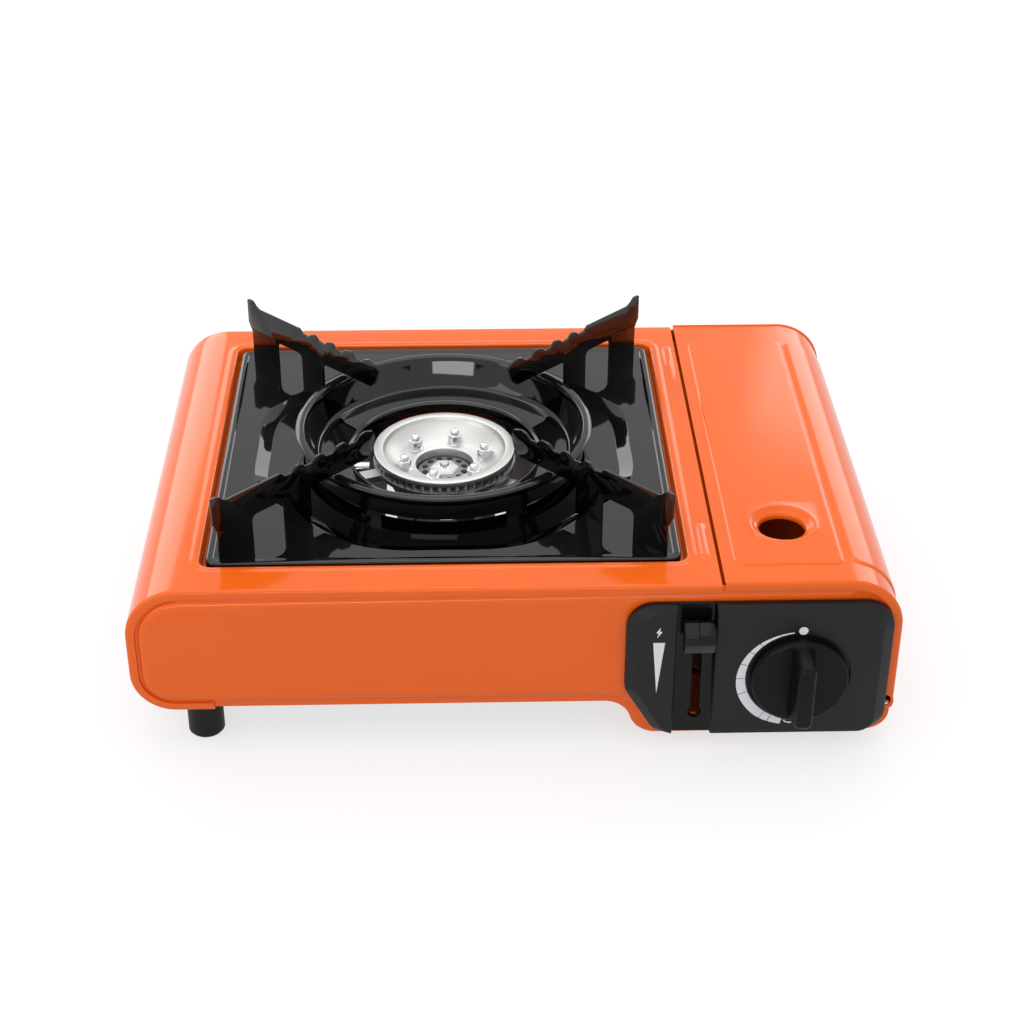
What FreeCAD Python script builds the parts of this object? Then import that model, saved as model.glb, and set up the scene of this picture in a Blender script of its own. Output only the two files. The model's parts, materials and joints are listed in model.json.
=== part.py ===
"""Butane cassette stove: one burner beside a covered cartridge bay.

Millimetres, +Z up, +X to the right, the control panel faces -Y. The origin is on the table,
under the middle of the outer box. The sheet named sizes holds every driving dimension.
"""
import FreeCAD, Part
import math
import os
import re

import Sketcher
from FreeCAD import Placement, Rotation, Vector

doc = FreeCAD.newDocument("cassette_stove")
sizes = doc.addObject("Spreadsheet::Sheet", "sizes")
aliases = []
nodes = []


def cell(name, content, note=""):
    row = len(aliases) + 1
    sizes.set(f"A{row}", name)
    sizes.set(f"B{row}", str(content))
    sizes.set(f"C{row}", note)
    sizes.setAlias(f"B{row}", name)
    aliases.append(name)


# Body shells
cell("body_width", 340, "outside, side to side")
cell("body_depth", 245, "outside, front to back")
cell("plate_top", 85, "table to the top plate")
cell("sheet", 1, "thickness of the pressed steel")
cell("fit_gap", 0.3, "clearance between neighbouring sheets")
cell("running", 0.06, "radial clearance of a running fit")
cell("corner_top", 24.5, "outer bend between top and sides")
cell("corner_low", 19.5, "outer bend under the left side")
cell("wrap_low", 21, "table to the underside of the left half")
cell("wrap_return", 36, "how far the skin turns in underneath")
cell("rim", 4, "visible flange round both ends")
cell("seam_x", "=body_width / 2 - 80", "joint between top plate and lid")
cell("seam_gap", 1.5)
cell("lid_rise", 1.2, "lid above the top plate")
cell("lid_shelf", 8, "ledge under the edge of the lid")
cell("shelf_lip", 6)
cell("shelf_setback", 5)
# Cartridge side
cell("trough_low", 4.3, "table to the underside of the trough")
cell("trough_corner", 10)
cell("step_x", "=body_width / 2 - 130", "where the floor starts to step down")
cell("step_run", 23.5)
cell("trough_lip", 12)
cell("flange_width", 8)
cell("can_x", "=body_width / 2 - 45", "axis of cartridge, regulator and knob")
cell("can_drop", 45, "axis below the top plate")
cell("can_radius", 33.25)
cell("partition_x", "=can_x - 39")
cell("cradle_half", 20, "half width of a cradle")
cell("cradle_thick", 1.5)
cell("cradle_front", 90, "front cradle behind the front")
cell("cradle_pitch", 100)
# Vents and slots
cell("vent_in", 50, "first vent in from the left side")
cell("vent_pitch", 28)
cell("vent_width", 18)
cell("vent_height", 4)
cell("vent_rise", 22, "lowest vents above the skin's underside")
cell("vent_row_pitch", 11)
cell("base_slot_width", 6)
cell("base_slot_depth", 45)
cell("base_slot_back", 30, "slots behind the burner axis")
cell("air_width", 22, "air window between burner and cartridge")
cell("air_height", 24)
cell("air_pitch", 35)
cell("air_low", 42)
# Lid hinge
cell("hinge_in", 3.5, "hinge axis in from the right side")
cell("hinge_z", 20)
cell("pin_radius", 1.5)
cell("pin_head", 3)
cell("pin_head_thick", 1.2)
cell("lid_drop", 2.5, "lid wall below the hinge axis")
cell("lip_drop", 4.6, "trough wall below the hinge axis")
cell("notch_rise", 3.2)
cell("finger_radius", 10.6)
cell("finger_x", "=can_x - 3.4")
cell("finger_back", 47.3, "finger hole behind the front")
cell("finger_collar", 3.5)
# Tray opening and tray
cell("burner_x", "=139 - body_width / 2")
cell("opening_x", 215)
cell("opening_y", 206)
cell("opening_corner", 6)
cell("ledge_depth", 7)
cell("ledge_width", 5)
cell("tray_gap", 2.5)
cell("tray_thick", 0.8)
cell("tray_drop", 0.3, "tray edge below the top plate")
cell("tray_step", 2, "middle of the tray below its edge")
cell("step_outer", 91.6)
cell("step_inner", 84.7)
cell("tray_hole", 62.3)
cell("hole_lip", 3.5)
# Wind ring, radii from the burner axis
cell("ring_lip", 12.8, "lip above the top plate")
cell("ring_skirt", 67)
cell("ring_outer", 71)
cell("ring_inner", 66.4)
cell("ring_wall", 60.4)
cell("ring_mouth", 48.6)
cell("ring_ledge", 3.5, "ledge below the top plate")
cell("ring_edge", 8.5)
cell("ring_air", 4.5, "air gap under the skirt")
cell("ring_foot", 11, "width of a foot")
cell("ring_turn", 60, "feet, either side of +X and -X")
# Pan supports, along the diagonal from the burner axis
cell("arm_thick", 1.2)
cell("arm_angle", 44.2)
cell("arm_start", 44.5)
cell("arm_reach", 140)
cell("arm_top", 31)
cell("arm_crest", 27.8)
cell("arm_tooth", 2.5, "depth of a notch")
cell("tooth_half", 4.6, "half width of a notch")
cell("arm_window", 13.4, "clear height under the arm")
cell("notch_one", 57.8, "notches, from the burner axis")
cell("notch_two", 71.8)
cell("notch_three", 84.4)
cell("notch_four", 96.3)
cell("leg_inner", 100)
cell("leg_outer", 118.3)
cell("leg_end", 137.5)
cell("window_round", 2.5)
# Burner, radii from its axis
cell("burner_radius", 34)
cell("burner_flange", 34.2)
cell("burner_drop", 1, "burner rim below the top plate")
cell("cap_height", 6)
cell("cap_rim", 3.5, "flat rim of the cap")
cell("cap_edge", 0.6)
cell("cap_skirt", 3, "thickness of the ported wall")
cell("dish_depth", 9)
cell("dish_wall", 1.6)
cell("dish_floor", 24.5)
cell("hole_radius", 13.9)
cell("bowl_depth", 20)
cell("bowl_wall", 2)
cell("port_width", 1.6)
cell("port_count", 48)
cell("bolt_count", 6)
cell("bolt_circle", 20)
cell("bolt_start", 15)
cell("bolt_flats", 5.5)
cell("bolt_height", 4.5)
cell("bolt_shank", 1.4)
cell("boss_radius", 3.2)
cell("core_gap", 0.7)
cell("core_drop", 8, "foot of the core below the dish")
cell("core_hole_radius", 1.2)
cell("core_hole_circle", 9.6)
cell("core_hole_count", 12)
cell("tube_turn", 25, "mixing tube, clockwise from +X")
cell("tube_radius", 8)
cell("tube_wall", 2)
cell("tube_reach", 90)
cell("tube_drop", 13, "tube axis below the burner flange")
cell("bracket_width", 30)
cell("bracket_depth", 24)
cell("bracket_sheet", 1.5)
cell("bracket_foot", 12)
cell("bracket_arm_start", 8)
cell("bracket_arm_width", 9)
cell("lug_width", 7)
cell("lug_reach", 12)
cell("lug_thick", 3)
cell("lug_turn", 200)
cell("spark_radius", 41, "electrode from the burner axis")
cell("spark_turn", 65, "electrode, clockwise from +X")
cell("ceramic_radius", 3)
cell("spark_wire", 0.8)
# Controls
cell("fascia_left", "=can_x - 76.7")
cell("fascia_right", "=can_x + 40.5")
cell("fascia_low", 8.4)
cell("fascia_high", 77)
cell("fascia_proud", 6)
cell("fascia_bevel", 2.6, "height and depth of the bevel along the top")
cell("fascia_side_bevel", 5, "width of the bevel along the sides")
cell("fascia_foot_round", 10)
cell("fascia_top_round", 13)
cell("fascia_cut_run", 14, "slanted lower left corner")
cell("fascia_cut_rise", 24)
cell("knob_gap", 0.4)
cell("knob_radius", 21.4)
cell("knob_disc", 4.6)
cell("grip_height", 15.5)
cell("grip_width", 9.3)
cell("shaft_radius", 3)
cell("lever_x", "=can_x - 45.5")
cell("lever_drop", 41, "lever pivot below the top plate")
cell("lever_back", 82, "lever pivot behind the front")
cell("lever_tilt", 12, "half of the lever's travel, degrees")
cell("lever_thick", 2)
cell("lever_half", 4)
cell("lever_tip", 94)
cell("lever_knob_back", 89.3)
cell("lever_knob_front", 98.3)
cell("lever_knob_width", 13.6)
cell("finger_lift", 12, "carrier pin above the lever pivot")
cell("finger_half", 3.5)
cell("finger_slot_half", 1.8)
cell("finger_slot_rise", 2.2)
cell("slot_width", 3.8)
cell("slot_low", 17)
cell("slot_high", 67)
cell("channel_width", 17)
cell("channel_depth", 4)
cell("pivot_radius", 2.5)
cell("spring_wire", 0.4)
cell("spring_turns", 4)
cell("spring_leg", 17)
cell("piezo_width", 15)
cell("piezo_depth", 18)
cell("piezo_in", 25, "igniter left of the cartridge axis")
cell("wire_rise", 34.5, "ignition wire above the cartridge axis")
# Gas parts
cell("regulator_front", 10)
cell("regulator_back", 30)
cell("regulator_radius", 19)
cell("regulator_flange", 16)
cell("flange_thick", 3)
cell("regulator_stem", 8)
cell("regulator_neck", 12)
cell("regulator_side", 10)
cell("side_reach", 3, "side boss past the regulator's round body")
cell("diaphragm_radius", 14)
cell("diaphragm_thick", 6)
cell("cap_screw_circle", 11)
cell("cap_screw_radius", 2)
cell("cap_screw_head", 1.5)
cell("connector_front", 38)
cell("connector_back", 48)
cell("connector_radius", 8)
cell("seal_radius", 5.5)
cell("seal_thick", 2)
cell("seal_depth", 1.5)
cell("stem_bore", 2.6)
cell("carrier_y", 54)
cell("carrier_thick", 2)
cell("carrier_notch", 17)
cell("guide_radius", 2)
cell("carrier_travel", 5)
cell("pipe_radius", 2)
cell("wire_radius", 1.2)
# Feet and screws
cell("foot_radius", 8.15)
cell("foot_setback", 14.5)
cell("foot_in", 29.7, "left feet in from the left side")
cell("foot_right_in", 22)
cell("foot_sole", 3, "rubber under the screw head")
cell("foot_edge", 1.2)
cell("screw_radius", 2)
cell("screw_head", 3.6)
cell("head_thick", 1.8)
cell("fascia_screw", 1.4)
cell("fascia_screw_head", 2.8)
# Worked out from the sizes above
cell("half_width", "=body_width / 2")
cell("front_reach", "=fascia_proud + knob_gap + knob_disc + grip_height")
cell("front_y", "=(front_reach - body_depth) / 2")
cell("back_y", "=front_y + body_depth")
cell("mid_y", "=front_y + body_depth / 2")
cell("seam_left", "=seam_x - seam_gap / 2")
cell("seam_right", "=seam_x + seam_gap / 2")
cell("lid_top", "=plate_top + lid_rise")
cell("hinge_x", "=half_width - hinge_in")
cell("inset", "=sheet + fit_gap")
cell("panel_y", "=front_y + inset")
cell("inside_y", "=panel_y + sheet")
cell("inside_depth", "=body_depth - 2 * (inset + sheet)")
cell("floor_top", "=wrap_low + 2 * sheet")
cell("trough_top", "=trough_low + sheet")
cell("can_z", "=plate_top - can_drop")
cell("lever_y", "=front_y + lever_back")
cell("lever_z", "=plate_top - lever_drop")
cell("tray_top", "=plate_top - tray_drop")
cell("cap_top", "=plate_top - burner_drop")
cell("cap_foot", "=cap_top - cap_height")
cell("dish_top", "=cap_top - dish_depth")
cell("tube_z", "=cap_foot - tube_drop")
cell("bowl_low", "=cap_foot - bowl_depth")
doc.recompute()


def named(text):
    """Point every alias in an expression at the sheet."""
    def swap(match):
        word = match.group(0)
        return "sizes." + word if word in aliases else word
    return re.sub(r"[a-z_][a-z_0-9]*", swap, str(text))


def value(text):
    return float(sizes.evalExpression(named(text)))


def bind(item, prop, text):
    item.setExpression(prop, named(text))


def place(item, x="0", y="0", z="0", turn=None, angle=None):
    if turn is not None:
        item.Placement = Placement(Vector(), turn)
    if angle is not None:
        bind(item, "Placement.Rotation.Angle", angle)
    bind(item, "Placement.Base.x", x)
    bind(item, "Placement.Base.y", y)
    bind(item, "Placement.Base.z", z)
    return item


def node(item, label):
    item.Label = label
    nodes.append(item)
    return item


def add_loop(sketch, path):
    """Draw one closed loop: corners (x, y), or (x, y, radius, turn) where an arc leaves a corner."""
    corners = [Vector(value(step[0]), value(step[1]), 0) for step in path]
    ends = []
    for index, step in enumerate(path):
        start = corners[index]
        end = corners[(index + 1) % len(path)]
        if len(step) == 2:
            edge = sketch.addGeometry(Part.LineSegment(start, end))
            ends.append((edge, 1, 2))
            continue
        radius = value(step[2])
        left = step[3] == "left"
        chord = end - start
        rise = math.sqrt(max(radius ** 2 - chord.Length ** 2 / 4, 0))
        side = Vector(-chord.y, chord.x, 0).normalize() * (rise if left else -rise)
        centre = (start + end) / 2 + side
        circle = Part.Circle(centre, Vector(0, 0, 1), radius)
        angles = [math.atan2(p.y - centre.y, p.x - centre.x) for p in (start, end)]
        if left:
            edge = sketch.addGeometry(Part.ArcOfCircle(circle, angles[0], angles[1]))
            ends.append((edge, 1, 2))
        else:
            edge = sketch.addGeometry(Part.ArcOfCircle(circle, angles[1], angles[0]))
            ends.append((edge, 2, 1))
        rule = sketch.addConstraint(Sketcher.Constraint("Radius", edge, radius))
        bind(sketch, f"Constraints[{rule}]", step[2])
    for index in range(len(path)):
        edge, _, end = ends[index]
        following, start, _ = ends[(index + 1) % len(path)]
        sketch.addConstraint(Sketcher.Constraint("Coincident", edge, end, following, start))
    for index, step in enumerate(path):
        edge, start, _ = ends[index]
        for kind, text, size in (("DistanceX", step[0], corners[index].x),
                                 ("DistanceY", step[1], corners[index].y)):
            rule = sketch.addConstraint(Sketcher.Constraint(kind, -1, 1, edge, start, size))
            bind(sketch, f"Constraints[{rule}]", text)


def add_circle(sketch, x, y, radius):
    centre = Vector(value(x), value(y), 0)
    ring = sketch.addGeometry(Part.Circle(centre, Vector(0, 0, 1), value(radius)))
    for kind, text, size in (("DistanceX", x, centre.x), ("DistanceY", y, centre.y)):
        rule = sketch.addConstraint(Sketcher.Constraint(kind, -1, 1, ring, 3, size))
        bind(sketch, f"Constraints[{rule}]", text)
    rule = sketch.addConstraint(Sketcher.Constraint("Radius", ring, value(radius)))
    bind(sketch, f"Constraints[{rule}]", radius)


def draw(sketch, loops):
    for loop in loops:
        if isinstance(loop, tuple):
            add_circle(sketch, *loop)
        else:
            add_loop(sketch, loop)
    return sketch


def new_body(name, x="0", y="0", z="0", turn=None, angle=None):
    return place(doc.addObject("PartDesign::Body", name), x, y, z, turn, angle)


def sketch_in(body, role, loops, offset="0"):
    sketch = body.newObject("Sketcher::SketchObject", body.Name + "_sketch")
    plane = next(item for item in body.Origin.OriginFeatures if item.Role == role)
    sketch.AttachmentSupport = [(plane, "")]
    sketch.MapMode = "FlatFace"
    bind(sketch, "AttachmentOffset.Base.z", offset)
    return draw(sketch, loops)


def pad(body, role, loops, offset, length, taper=0):
    feature = body.newObject("PartDesign::Pad", body.Name + "_pad")
    feature.Profile = sketch_in(body, role, loops, offset)
    bind(feature, "Length", length)
    feature.TaperAngle = taper
    return feature


def pocket(body, role, loops, offset, length):
    """Cut from the sketch against the plane's normal."""
    feature = body.newObject("PartDesign::Pocket", body.Name + "_pocket")
    feature.Profile = sketch_in(body, role, loops, offset)
    bind(feature, "Length", length)
    return feature


def turned(name, path, x="0", y="0", z="0", turn=None):
    """A body turned about its own Z axis from a path of (radius, height)."""
    body = new_body(name, x, y, z, turn)
    feature = body.newObject("PartDesign::Revolution", name + "_turn")
    sketch = sketch_in(body, "XZ_Plane", [path])
    feature.Profile = sketch
    feature.ReferenceAxis = (sketch, ["V_Axis"])
    feature.Angle = 360
    return body


def box(name, x, y, z, length, width, height):
    item = doc.addObject("Part::Box", name)
    bind(item, "Length", length)
    bind(item, "Width", width)
    bind(item, "Height", height)
    return place(item, x, y, z)


AXIS_TURN = {"x": Rotation(Vector(0, 1, 0), 90), "y": Rotation(Vector(1, 0, 0), -90), "z": None}


def rod(name, axis, x, y, z, radius, length):
    item = doc.addObject("Part::Cylinder", name)
    bind(item, "Radius", radius)
    bind(item, "Height", length)
    return place(item, x, y, z, AXIS_TURN[axis])


def prism(name, plane, loops, start, length):
    """Push an outline from start along +Y (plane XZ), +Z (plane XY) or +X (plane YZ)."""
    sketch = draw(doc.addObject("Sketcher::SketchObject", name + "_sketch"), loops)
    if plane == "XZ":
        place(sketch, y=start, turn=Rotation(Vector(1, 0, 0), 90))
    elif plane == "YZ":
        place(sketch, x=start, turn=Rotation(Vector(1, 1, 1), 120))
    else:
        place(sketch, z=start)
    item = doc.addObject("Part::Extrusion", name)
    item.Base = sketch
    item.DirMode = "Normal"
    item.Solid = True
    item.Reversed = plane == "XZ"
    bind(item, "LengthFwd", length)
    return item


def fuse(name, pieces):
    item = doc.addObject("Part::MultiFuse", name)
    item.Shapes = pieces
    return item


def group(name, pieces):
    """Separate solids in one sub-part, such as a set of screws."""
    item = doc.addObject("Part::Compound", name)
    item.Links = pieces
    return item


def cut(name, base, tools):
    item = doc.addObject("Part::Cut", name)
    item.Base = base
    item.Tool = tools[0] if len(tools) == 1 else fuse(name + "_tools", tools)
    return item


def rounded(x, y, width, depth, radius):
    """A rectangle with round corners about (x, y)."""
    left, right = f"{x} - ({width}) / 2", f"{x} + ({width}) / 2"
    low, high = f"{y} - ({depth}) / 2", f"{y} + ({depth}) / 2"
    return [(f"{left} + {radius}", low),
            (f"{right} - ({radius})", low, radius, "left"),
            (right, f"{low} + {radius}"),
            (right, f"{high} - ({radius})", radius, "left"),
            (f"{right} - ({radius})", high),
            (f"{left} + {radius}", high, radius, "left"),
            (left, f"{high} - ({radius})"),
            (left, f"{low} + {radius}", radius, "left")]


def rectangle(x, y, width, height):
    return [(x, y), (f"{x} + {width}", y), (f"{x} + {width}", f"{y} + {height}"),
            (x, f"{y} + {height}")]


def pipe(label, points, radius):
    """Straight runs joined by tangent arcs, each as large as its two runs allow."""
    corners = [Vector(*(value(text) for text in point)) for point in points]
    edges = []
    last = corners[0]
    for before, corner, after in zip(corners, corners[1:], corners[2:]):
        run_in = (corner - before).normalize()
        run_out = (after - corner).normalize()
        turn = run_in.getAngle(run_out)
        reach = 0.45 * min((corner - before).Length, (after - corner).Length)
        start = corner - run_in * reach
        end = corner + run_out * reach
        inward = (run_out - run_in).normalize()
        bend = reach / math.tan(turn / 2)
        middle = corner + inward * (bend / math.cos(turn / 2) - bend)
        edges.append(Part.LineSegment(last, start).toShape())
        edges.append(Part.Arc(start, middle, end).toShape())
        last = end
    edges.append(Part.LineSegment(last, corners[-1]).toShape())
    path = Part.Wire(edges)
    first_run = corners[1] - corners[0]
    circle = Part.Circle(corners[0], first_run, value(radius)).toShape()
    item = doc.addObject("Part::Feature", label)
    item.Shape = path.makePipeShell([Part.Wire(circle)], True, True)
    return node(item, label)


# Floor step: two equal arcs that run the floor down into the trough


def step_curve(high, low, shift, forward=True):
    """Corners of the step, raised by shift along its normal, from left to right or back."""
    drop = f"(({high}) - ({low}))"
    bend = f"((step_run ^ 2 + {drop} ^ 2) / (4 * {drop}))"
    middle = (f"step_x + step_run / 2 + ({shift}) * step_run / (2 * {bend})",
              f"({high} + {low}) / 2 + ({shift}) * (1 - {drop} / (2 * {bend}))")
    upper = ("step_x", f"{high} + {shift}")
    lower = ("step_x + step_run", f"{low} + {shift}")
    wide = f"{bend} + {shift}"
    narrow = f"{bend} - ({shift})"
    if forward:
        return [(*upper, wide, "right"), (*middle, narrow, "left"), lower]
    return [(*lower, narrow, "right"), (*middle, wide, "left"), upper]


def wrap_path(thick):
    """Section of the skin: top plate, left side and the return underneath."""
    return [("seam_left", "plate_top"),
            ("-half_width + corner_top", "plate_top", "corner_top", "left"),
            ("-half_width", "plate_top - corner_top"),
            ("-half_width", "wrap_low + corner_low", "corner_low", "left"),
            ("-half_width + corner_low", "wrap_low"),
            ("-half_width + wrap_return", "wrap_low"),
            ("-half_width + wrap_return", f"wrap_low + {thick}"),
            ("-half_width + corner_low", f"wrap_low + {thick}", f"corner_low - {thick}", "right"),
            (f"-half_width + {thick}", "wrap_low + corner_low"),
            (f"-half_width + {thick}", "plate_top - corner_top", f"corner_top - {thick}", "right"),
            ("-half_width + corner_top", f"plate_top - {thick}"),
            ("seam_left", f"plate_top - {thick}")]


def body_wrap():
    skin = prism("wrap_skin", "XZ", [wrap_path("sheet")], "front_y", "body_depth")
    front = prism("wrap_front_rim", "XZ", [wrap_path("rim")], "front_y", "sheet")
    back = prism("wrap_back_rim", "XZ", [wrap_path("rim")], "back_y - sheet", "sheet")
    hole = prism("tray_opening", "XY",
                 [rounded("burner_x", "mid_y", "opening_x", "opening_y", "opening_corner")],
                 "plate_top - 2 * sheet", "3 * sheet")
    kerb = prism("opening_kerb", "XY",
                 [rounded("burner_x", "mid_y", "opening_x + 2 * sheet", "opening_y + 2 * sheet",
                          "opening_corner + sheet"),
                  rounded("burner_x", "mid_y", "opening_x", "opening_y", "opening_corner")],
                 "plate_top - ledge_depth - sheet", "ledge_depth + sheet")
    ledge = prism("opening_ledge", "XY",
                  [rounded("burner_x", "mid_y", "opening_x + sheet", "opening_y + sheet",
                           "opening_corner + sheet / 2"),
                   rounded("burner_x", "mid_y", "opening_x - 2 * ledge_width",
                           "opening_y - 2 * ledge_width", "opening_corner - ledge_width")],
                  "plate_top - ledge_depth - sheet", "sheet")
    shelf_z = "lid_top - sheet - fit_gap"
    shelf_y = "front_y + shelf_setback"
    shelf_depth = "body_depth - 2 * shelf_setback"
    shelf = box("lid_shelf_plate", "seam_left - 2 * sheet", shelf_y, f"{shelf_z} - sheet",
                "lid_shelf + 2 * sheet", shelf_depth, "sheet")
    lip = box("lid_shelf_lip", "seam_left + lid_shelf - sheet", shelf_y,
              f"{shelf_z} - shelf_lip", "sheet", shelf_depth, "shelf_lip")
    shell = cut("wrap_open", fuse("wrap_shell", [skin, front, back]), [hole, *left_foot_holes()])
    node(fuse("wrap", [shell, kerb, ledge, shelf, lip]), "body_wrap")


def foot_places():
    """Name, x, y and top of the foot, for all four feet."""
    ys = {"front": "front_y + foot_setback", "rear": "back_y - foot_setback"}
    places = []
    for end, y in ys.items():
        places.append((f"foot_{end}_left", "-half_width + foot_in", y, "wrap_low"))
        places.append((f"foot_{end}_right", "half_width - foot_right_in", y, "trough_low"))
    return places


def foot_holes(side):
    return [rod(f"hole_{name}", "z", x, y, "0", "screw_radius + running", "floor_top + sheet")
            for name, x, y, _ in foot_places() if name.endswith(side)]


def left_foot_holes():
    return foot_holes("left")


def lid_path(thick, low):
    return [("seam_right", f"lid_top - {thick}"),
            ("half_width - corner_top", f"lid_top - {thick}", f"corner_top - {thick}", "right"),
            (f"half_width - {thick}", "lid_top - corner_top"),
            (f"half_width - {thick}", low),
            ("half_width", low),
            ("half_width", "lid_top - corner_top", "corner_top", "left"),
            ("half_width - corner_top", "lid_top"),
            ("seam_right", "lid_top")]


def lid_shell():
    skin = prism("lid_skin", "XZ", [lid_path("sheet", "hinge_z - lid_drop")],
                 "front_y", "body_depth")
    parts = [skin]
    notches = []
    for end, y, gap_y in (("front", "front_y", "front_y + sheet"),
                          ("back", "back_y - sheet", "back_y - 2 * sheet - inset - fit_gap")):
        parts.append(prism(f"lid_{end}_rim", "XZ", [lid_path("rim", "hinge_z")], y, "sheet"))
        parts.append(rod(f"lid_{end}_ear", "y", "hinge_x", y, "hinge_z", "hinge_in", "sheet"))
        notches.append(box(f"lid_{end}_notch", "half_width - 2 * sheet", gap_y,
                           "hinge_z - lid_drop - sheet", "3 * sheet",
                           "sheet + inset + fit_gap", "lid_drop + sheet + notch_rise"))
    finger_y = "front_y + finger_back"
    collar = rod("finger_collar_outer", "z", "finger_x", finger_y, "lid_top - finger_collar",
                 "finger_radius + sheet", "finger_collar")
    hole = rod("finger_hole", "z", "finger_x", finger_y, "lid_top - 2 * finger_collar",
               "finger_radius", "3 * finger_collar")
    bore = rod("lid_bore", "y", "hinge_x", "front_y - sheet", "hinge_z",
               "pin_radius + running", "body_depth + 2 * sheet")
    node(cut("lid", fuse("lid_whole", [*parts, collar]), [*notches, hole, bore]), "lid_shell")


def hinge_pins():
    pins = []
    for end, y, head_y in (("front", "front_y", "inside_y"),
                           ("back", "back_y - inset - 2 * sheet",
                            "back_y - inset - sheet - pin_head_thick")):
        shank_y = "front_y" if end == "front" else "back_y - inset - sheet - pin_head_thick"
        shank = rod(f"{end}_pin_shank", "y", "hinge_x", shank_y, "hinge_z", "pin_radius",
                    "inset + sheet + pin_head_thick")
        head = rod(f"{end}_pin_head", "y", "hinge_x", head_y, "hinge_z", "pin_head",
                   "pin_head_thick")
        pins.append(fuse(f"{end}_hinge_pin", [shank, head]))
    node(group("hinge_pins", pins), "lid_hinge_pins")


def end_outline():
    """Outline of the front and rear panels, which fills the end of the two skins."""
    return [("-half_width + corner_low", "wrap_low + inset"),
            *step_curve("wrap_low + inset", "trough_low + fit_gap", "0"),
            ("half_width - inset - trough_corner", "trough_low + fit_gap", "trough_corner", "left"),
            ("half_width - inset", "trough_low + fit_gap + trough_corner"),
            ("half_width - inset", "plate_top - corner_top", "corner_top - inset", "left"),
            ("half_width - corner_top", "plate_top - inset"),
            ("-half_width + corner_top", "plate_top - inset", "corner_top - inset", "left"),
            ("-half_width + inset", "plate_top - corner_top"),
            ("-half_width + inset", "wrap_low + corner_low", "corner_low - inset", "left")]


def field_outline(extra, right):
    """The raised field of the front panel, extra mm inside the rim's groove."""
    edge = f"(rim + seam_gap + {extra})"
    rise = f"({edge} - inset)"
    return [("-half_width + corner_low", f"wrap_low + {edge}"),
            *step_curve("wrap_low + inset", "trough_low + fit_gap", rise),
            (right, f"trough_low + fit_gap + {rise}"),
            (right, f"plate_top - {edge}"),
            ("-half_width + corner_top", f"plate_top - {edge}", f"corner_top - {edge}", "left"),
            (f"-half_width + {edge}", "plate_top - corner_top"),
            (f"-half_width + {edge}", "wrap_low + corner_low", f"corner_low - {edge}", "left")]


def front_panel():
    right = "half_width - corner_top"
    plate = prism("front_plate", "XZ", [end_outline()], "panel_y", "sheet")
    field = prism("front_field", "XZ", [field_outline("0", right)], "front_y", "inset + sheet")
    hollow = prism("front_hollow", "XZ", [field_outline("sheet", f"{right} - sheet")],
                   "front_y + sheet", "2 * inset")
    slot = box("front_slot", "lever_x - slot_width / 2", "front_y - sheet", "slot_low",
               "slot_width", "5 * sheet", "slot_high - slot_low")
    shaft = rod("front_shaft_hole", "y", "can_x", "front_y - sheet", "can_z",
                "shaft_radius + 2 * sheet", "5 * sheet")
    pin = rod("front_pin_hole", "y", "hinge_x", "front_y - sheet", "hinge_z",
              "pin_radius + running", "5 * sheet")
    screws = [rod(f"front_screw_hole_{index}", "y", x, "front_y - sheet", z,
                  "fascia_screw + running", "3 * sheet")
              for index, (x, z) in enumerate(fascia_screw_places())]
    shell = cut("front_shell", fuse("front_solid", [plate, field]),
                [hollow, slot, shaft, pin, *screws])
    node(shell, "front_panel")


def rear_panel():
    start = "back_y - inset - sheet"
    plate = prism("rear_plate", "XZ", [end_outline()], start, "sheet")
    tools = [rod("rear_pin_hole", "y", "hinge_x", f"{start} - sheet", "hinge_z",
                 "pin_radius + running", "3 * sheet")]
    for row in range(3):
        for column in range(6):
            tools.append(box(f"vent_{row}_{column}", f"vent_in - half_width + {column} * vent_pitch",
                             f"{start} - sheet", f"wrap_low + vent_rise + {row} * vent_row_pitch",
                             "vent_width", "3 * sheet", "vent_height"))
    for index, (x, z) in enumerate(rear_screw_places()):
        tools.append(rod(f"rear_screw_hole_{index}", "y", x, f"{start} - sheet", z,
                         "screw_radius - sheet / 2 + running", "3 * sheet"))
    node(cut("rear", plate, tools), "rear_panel")


def rear_screw_places():
    low = "floor_top + flange_width / 2"
    return [("-half_width / 2", low), ("0", low), ("can_x - 30", "trough_top + flange_width / 2"),
            ("can_x + 20", "trough_top + flange_width / 2")]


def panel_screws():
    screws = []
    for index, (x, z) in enumerate(rear_screw_places()):
        head = rod(f"rear_head_{index}", "y", x, "back_y - inset", z, "screw_radius + sheet / 2",
                   "sheet")
        shank = rod(f"rear_shank_{index}", "y", x, "back_y - inset - 5 * sheet", z,
                    "screw_radius - sheet / 2", "5.5 * sheet")
        screws.append(fuse(f"rear_screw_{index}", [head, shank]))
    node(group("rear_screws", screws), "panel_screws")


def base_plate():
    left = "-half_width + corner_low"
    length = "half_width - corner_low + step_x - sheet"
    parts = [box("base_floor", left, "inside_y", "floor_top - sheet", length, "inside_depth",
                 "sheet")]
    for end, y in (("front", "inside_y"), ("back", "back_y - inset - 2 * sheet")):
        parts.append(box(f"base_{end}_flange", left, y, "floor_top - sheet",
                         f"{length} + sheet - trough_lip", "sheet", "flange_width + sheet"))
    tools = foot_holes("left")
    for index in range(5):
        tools.append(box(f"base_slot_{index}",
                         f"burner_x + ({index} - 2) * vent_pitch - base_slot_width / 2",
                         "mid_y + base_slot_back", "floor_top - 2 * sheet", "base_slot_width",
                         "base_slot_depth", "3 * sheet"))
    for index, (x, z) in enumerate(rear_screw_places()[:2]):
        tools.append(rod(f"base_screw_hole_{index}", "y", x, "back_y - 6 * sheet", z,
                         "screw_radius - sheet / 2 + running", "6 * sheet"))
    node(cut("base", fuse("base_solid", parts), tools), "base_plate")


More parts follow.
